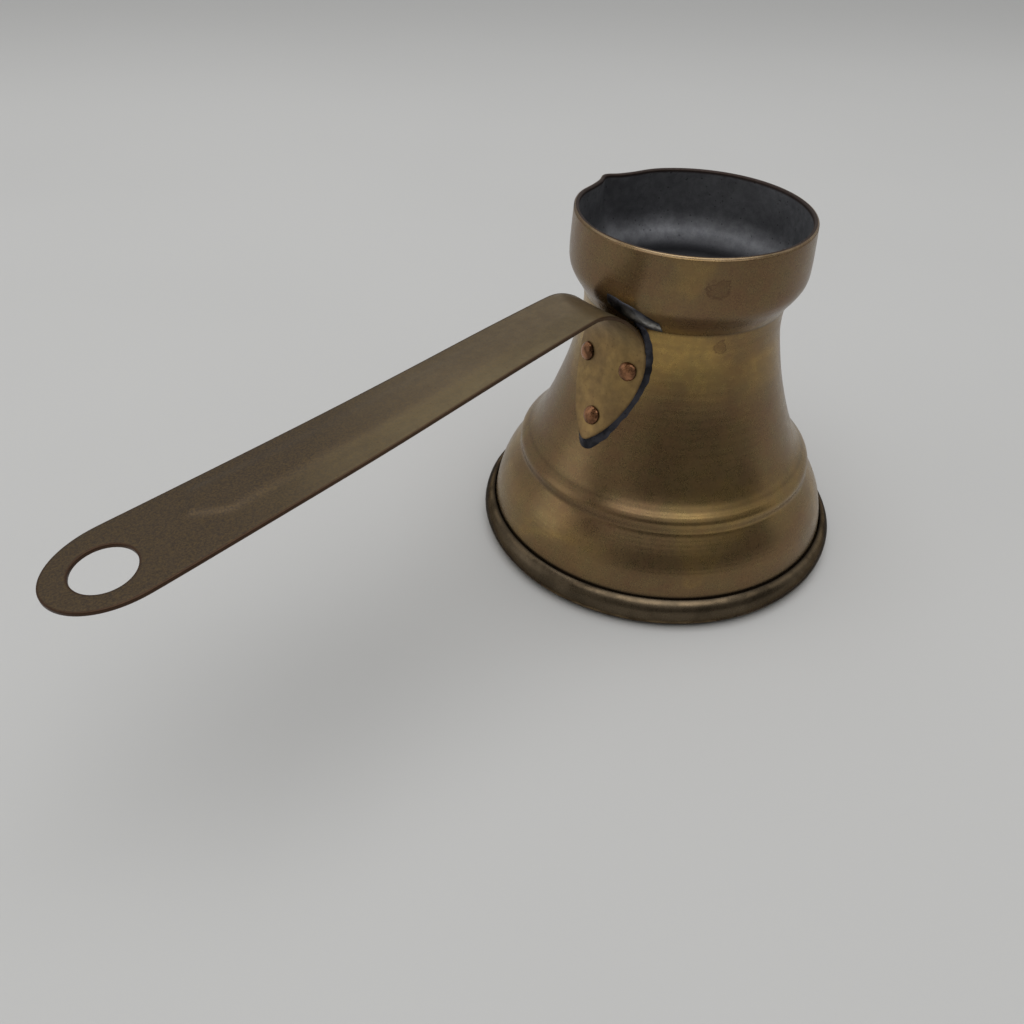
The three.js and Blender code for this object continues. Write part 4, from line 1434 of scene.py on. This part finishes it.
def set_lights(studio):
    """A white room, a large soft light above and a smaller one at the left."""
    world = bpy.data.worlds.new("White Room")
    world.use_nodes = True
    background = world.node_tree.nodes["Background"]
    background.inputs["Color"].default_value = (1.0, 1.0, 0.99, 1.0)
    background.inputs["Strength"].default_value = studio.surround
    bpy.context.scene.world = world
    middle = (CAD_BOX[0] + CAD_BOX[1]) / 2
    for name, angle, reach, height, size, power in (
            ("overhead_light", studio.dark_side, 0.16, 1.1, 1.2, studio.overhead),
            ("side_light", studio.dark_side - math.radians(66), 1.1, 0.35, 0.8, studio.side)):
        place = (reach * math.cos(angle), reach * math.sin(angle), height)
        soft_light(name, place, middle, size, power)


def place_camera(studio):
    """The camera, with its place, direction and lens from the studio's settings."""
    camera = bpy.data.cameras.new("camera")
    camera.lens, camera.sensor_width = studio.lens, 36.0
    camera.clip_start, camera.clip_end = 0.005, 50.0
    eye = bpy.data.objects.new("camera", camera)
    eye.matrix_world = (
        Matrix.Translation(studio.eye)
        @ Matrix.Rotation(studio.heading - math.pi / 2, 4, "Z")
        @ Matrix.Rotation(math.pi / 2 - studio.tilt, 4, "X")
        @ Matrix.Rotation(studio.roll, 4, "Z"))
    bpy.context.scene.collection.objects.link(eye)
    bpy.context.scene.camera = eye


class COFFEEPOT_OT_stage(bpy.types.Operator):
    """Lay the paper floor, set the lights and the dark side of the room, and place the camera"""

    bl_idname = "coffeepot.stage"
    bl_label = "Stage"

    def execute(self, context):
        studio = context.scene.coffee_pot_studio
        context.scene.view_settings.view_transform = "Standard"
        lay_floor(studio)
        hang_dark_side(studio)
        set_lights(studio)
        place_camera(studio)
        return {"FINISHED"}


class COFFEEPOT_PT_panel(bpy.types.Panel):
    """Sidebar panel that lists the pot's pieces and their settings"""

    bl_label = "Coffee Pot"
    bl_space_type = "VIEW_3D"
    bl_region_type = "UI"
    bl_category = "Coffee Pot"

    def draw(self, context):
        for operator in OPERATORS:
            self.layout.operator(operator.bl_idname)
        for name in SETTINGS:
            group = getattr(context.scene, name)
            box = self.layout.box()
            for item in group.bl_rna.properties:
                if item.identifier not in ("rna_type", "name"):
                    box.prop(group, item.identifier)


SETTINGS = {
    "coffee_pot_sizes": CoffeePotSizes,
    "coffee_pot_finish": CoffeePotFinish,
    "coffee_pot_studio": CoffeePotStudio,
}
OPERATORS = (
    COFFEEPOT_OT_stage,
    COFFEEPOT_OT_pot_shell,
    COFFEEPOT_OT_base_hem,
    COFFEEPOT_OT_base_seam,
    COFFEEPOT_OT_handle,
    COFFEEPOT_OT_rivets,
    COFFEEPOT_OT_leaf_solder,
    COFFEEPOT_OT_collar_solder,
)


def register():
    for cls in (*SETTINGS.values(), *OPERATORS, COFFEEPOT_PT_panel):
        bpy.utils.register_class(cls)
    for name, cls in SETTINGS.items():
        setattr(bpy.types.Scene, name, bpy.props.PointerProperty(type=cls))


def unregister():
    for name in SETTINGS:
        delattr(bpy.types.Scene, name)
    for cls in (COFFEEPOT_PT_panel, *reversed(OPERATORS), *SETTINGS.values()):
        bpy.utils.unregister_class(cls)


def main():
    """Makes every piece and the stage."""
    register()
    bpy.ops.coffeepot.stage()
    bpy.ops.coffeepot.pot_shell()
    bpy.ops.coffeepot.base_hem()
    bpy.ops.coffeepot.base_seam()
    bpy.ops.coffeepot.handle()
    bpy.ops.coffeepot.rivets()
    bpy.ops.coffeepot.leaf_solder()
    bpy.ops.coffeepot.collar_solder()


if __name__ == "__main__":
    main()
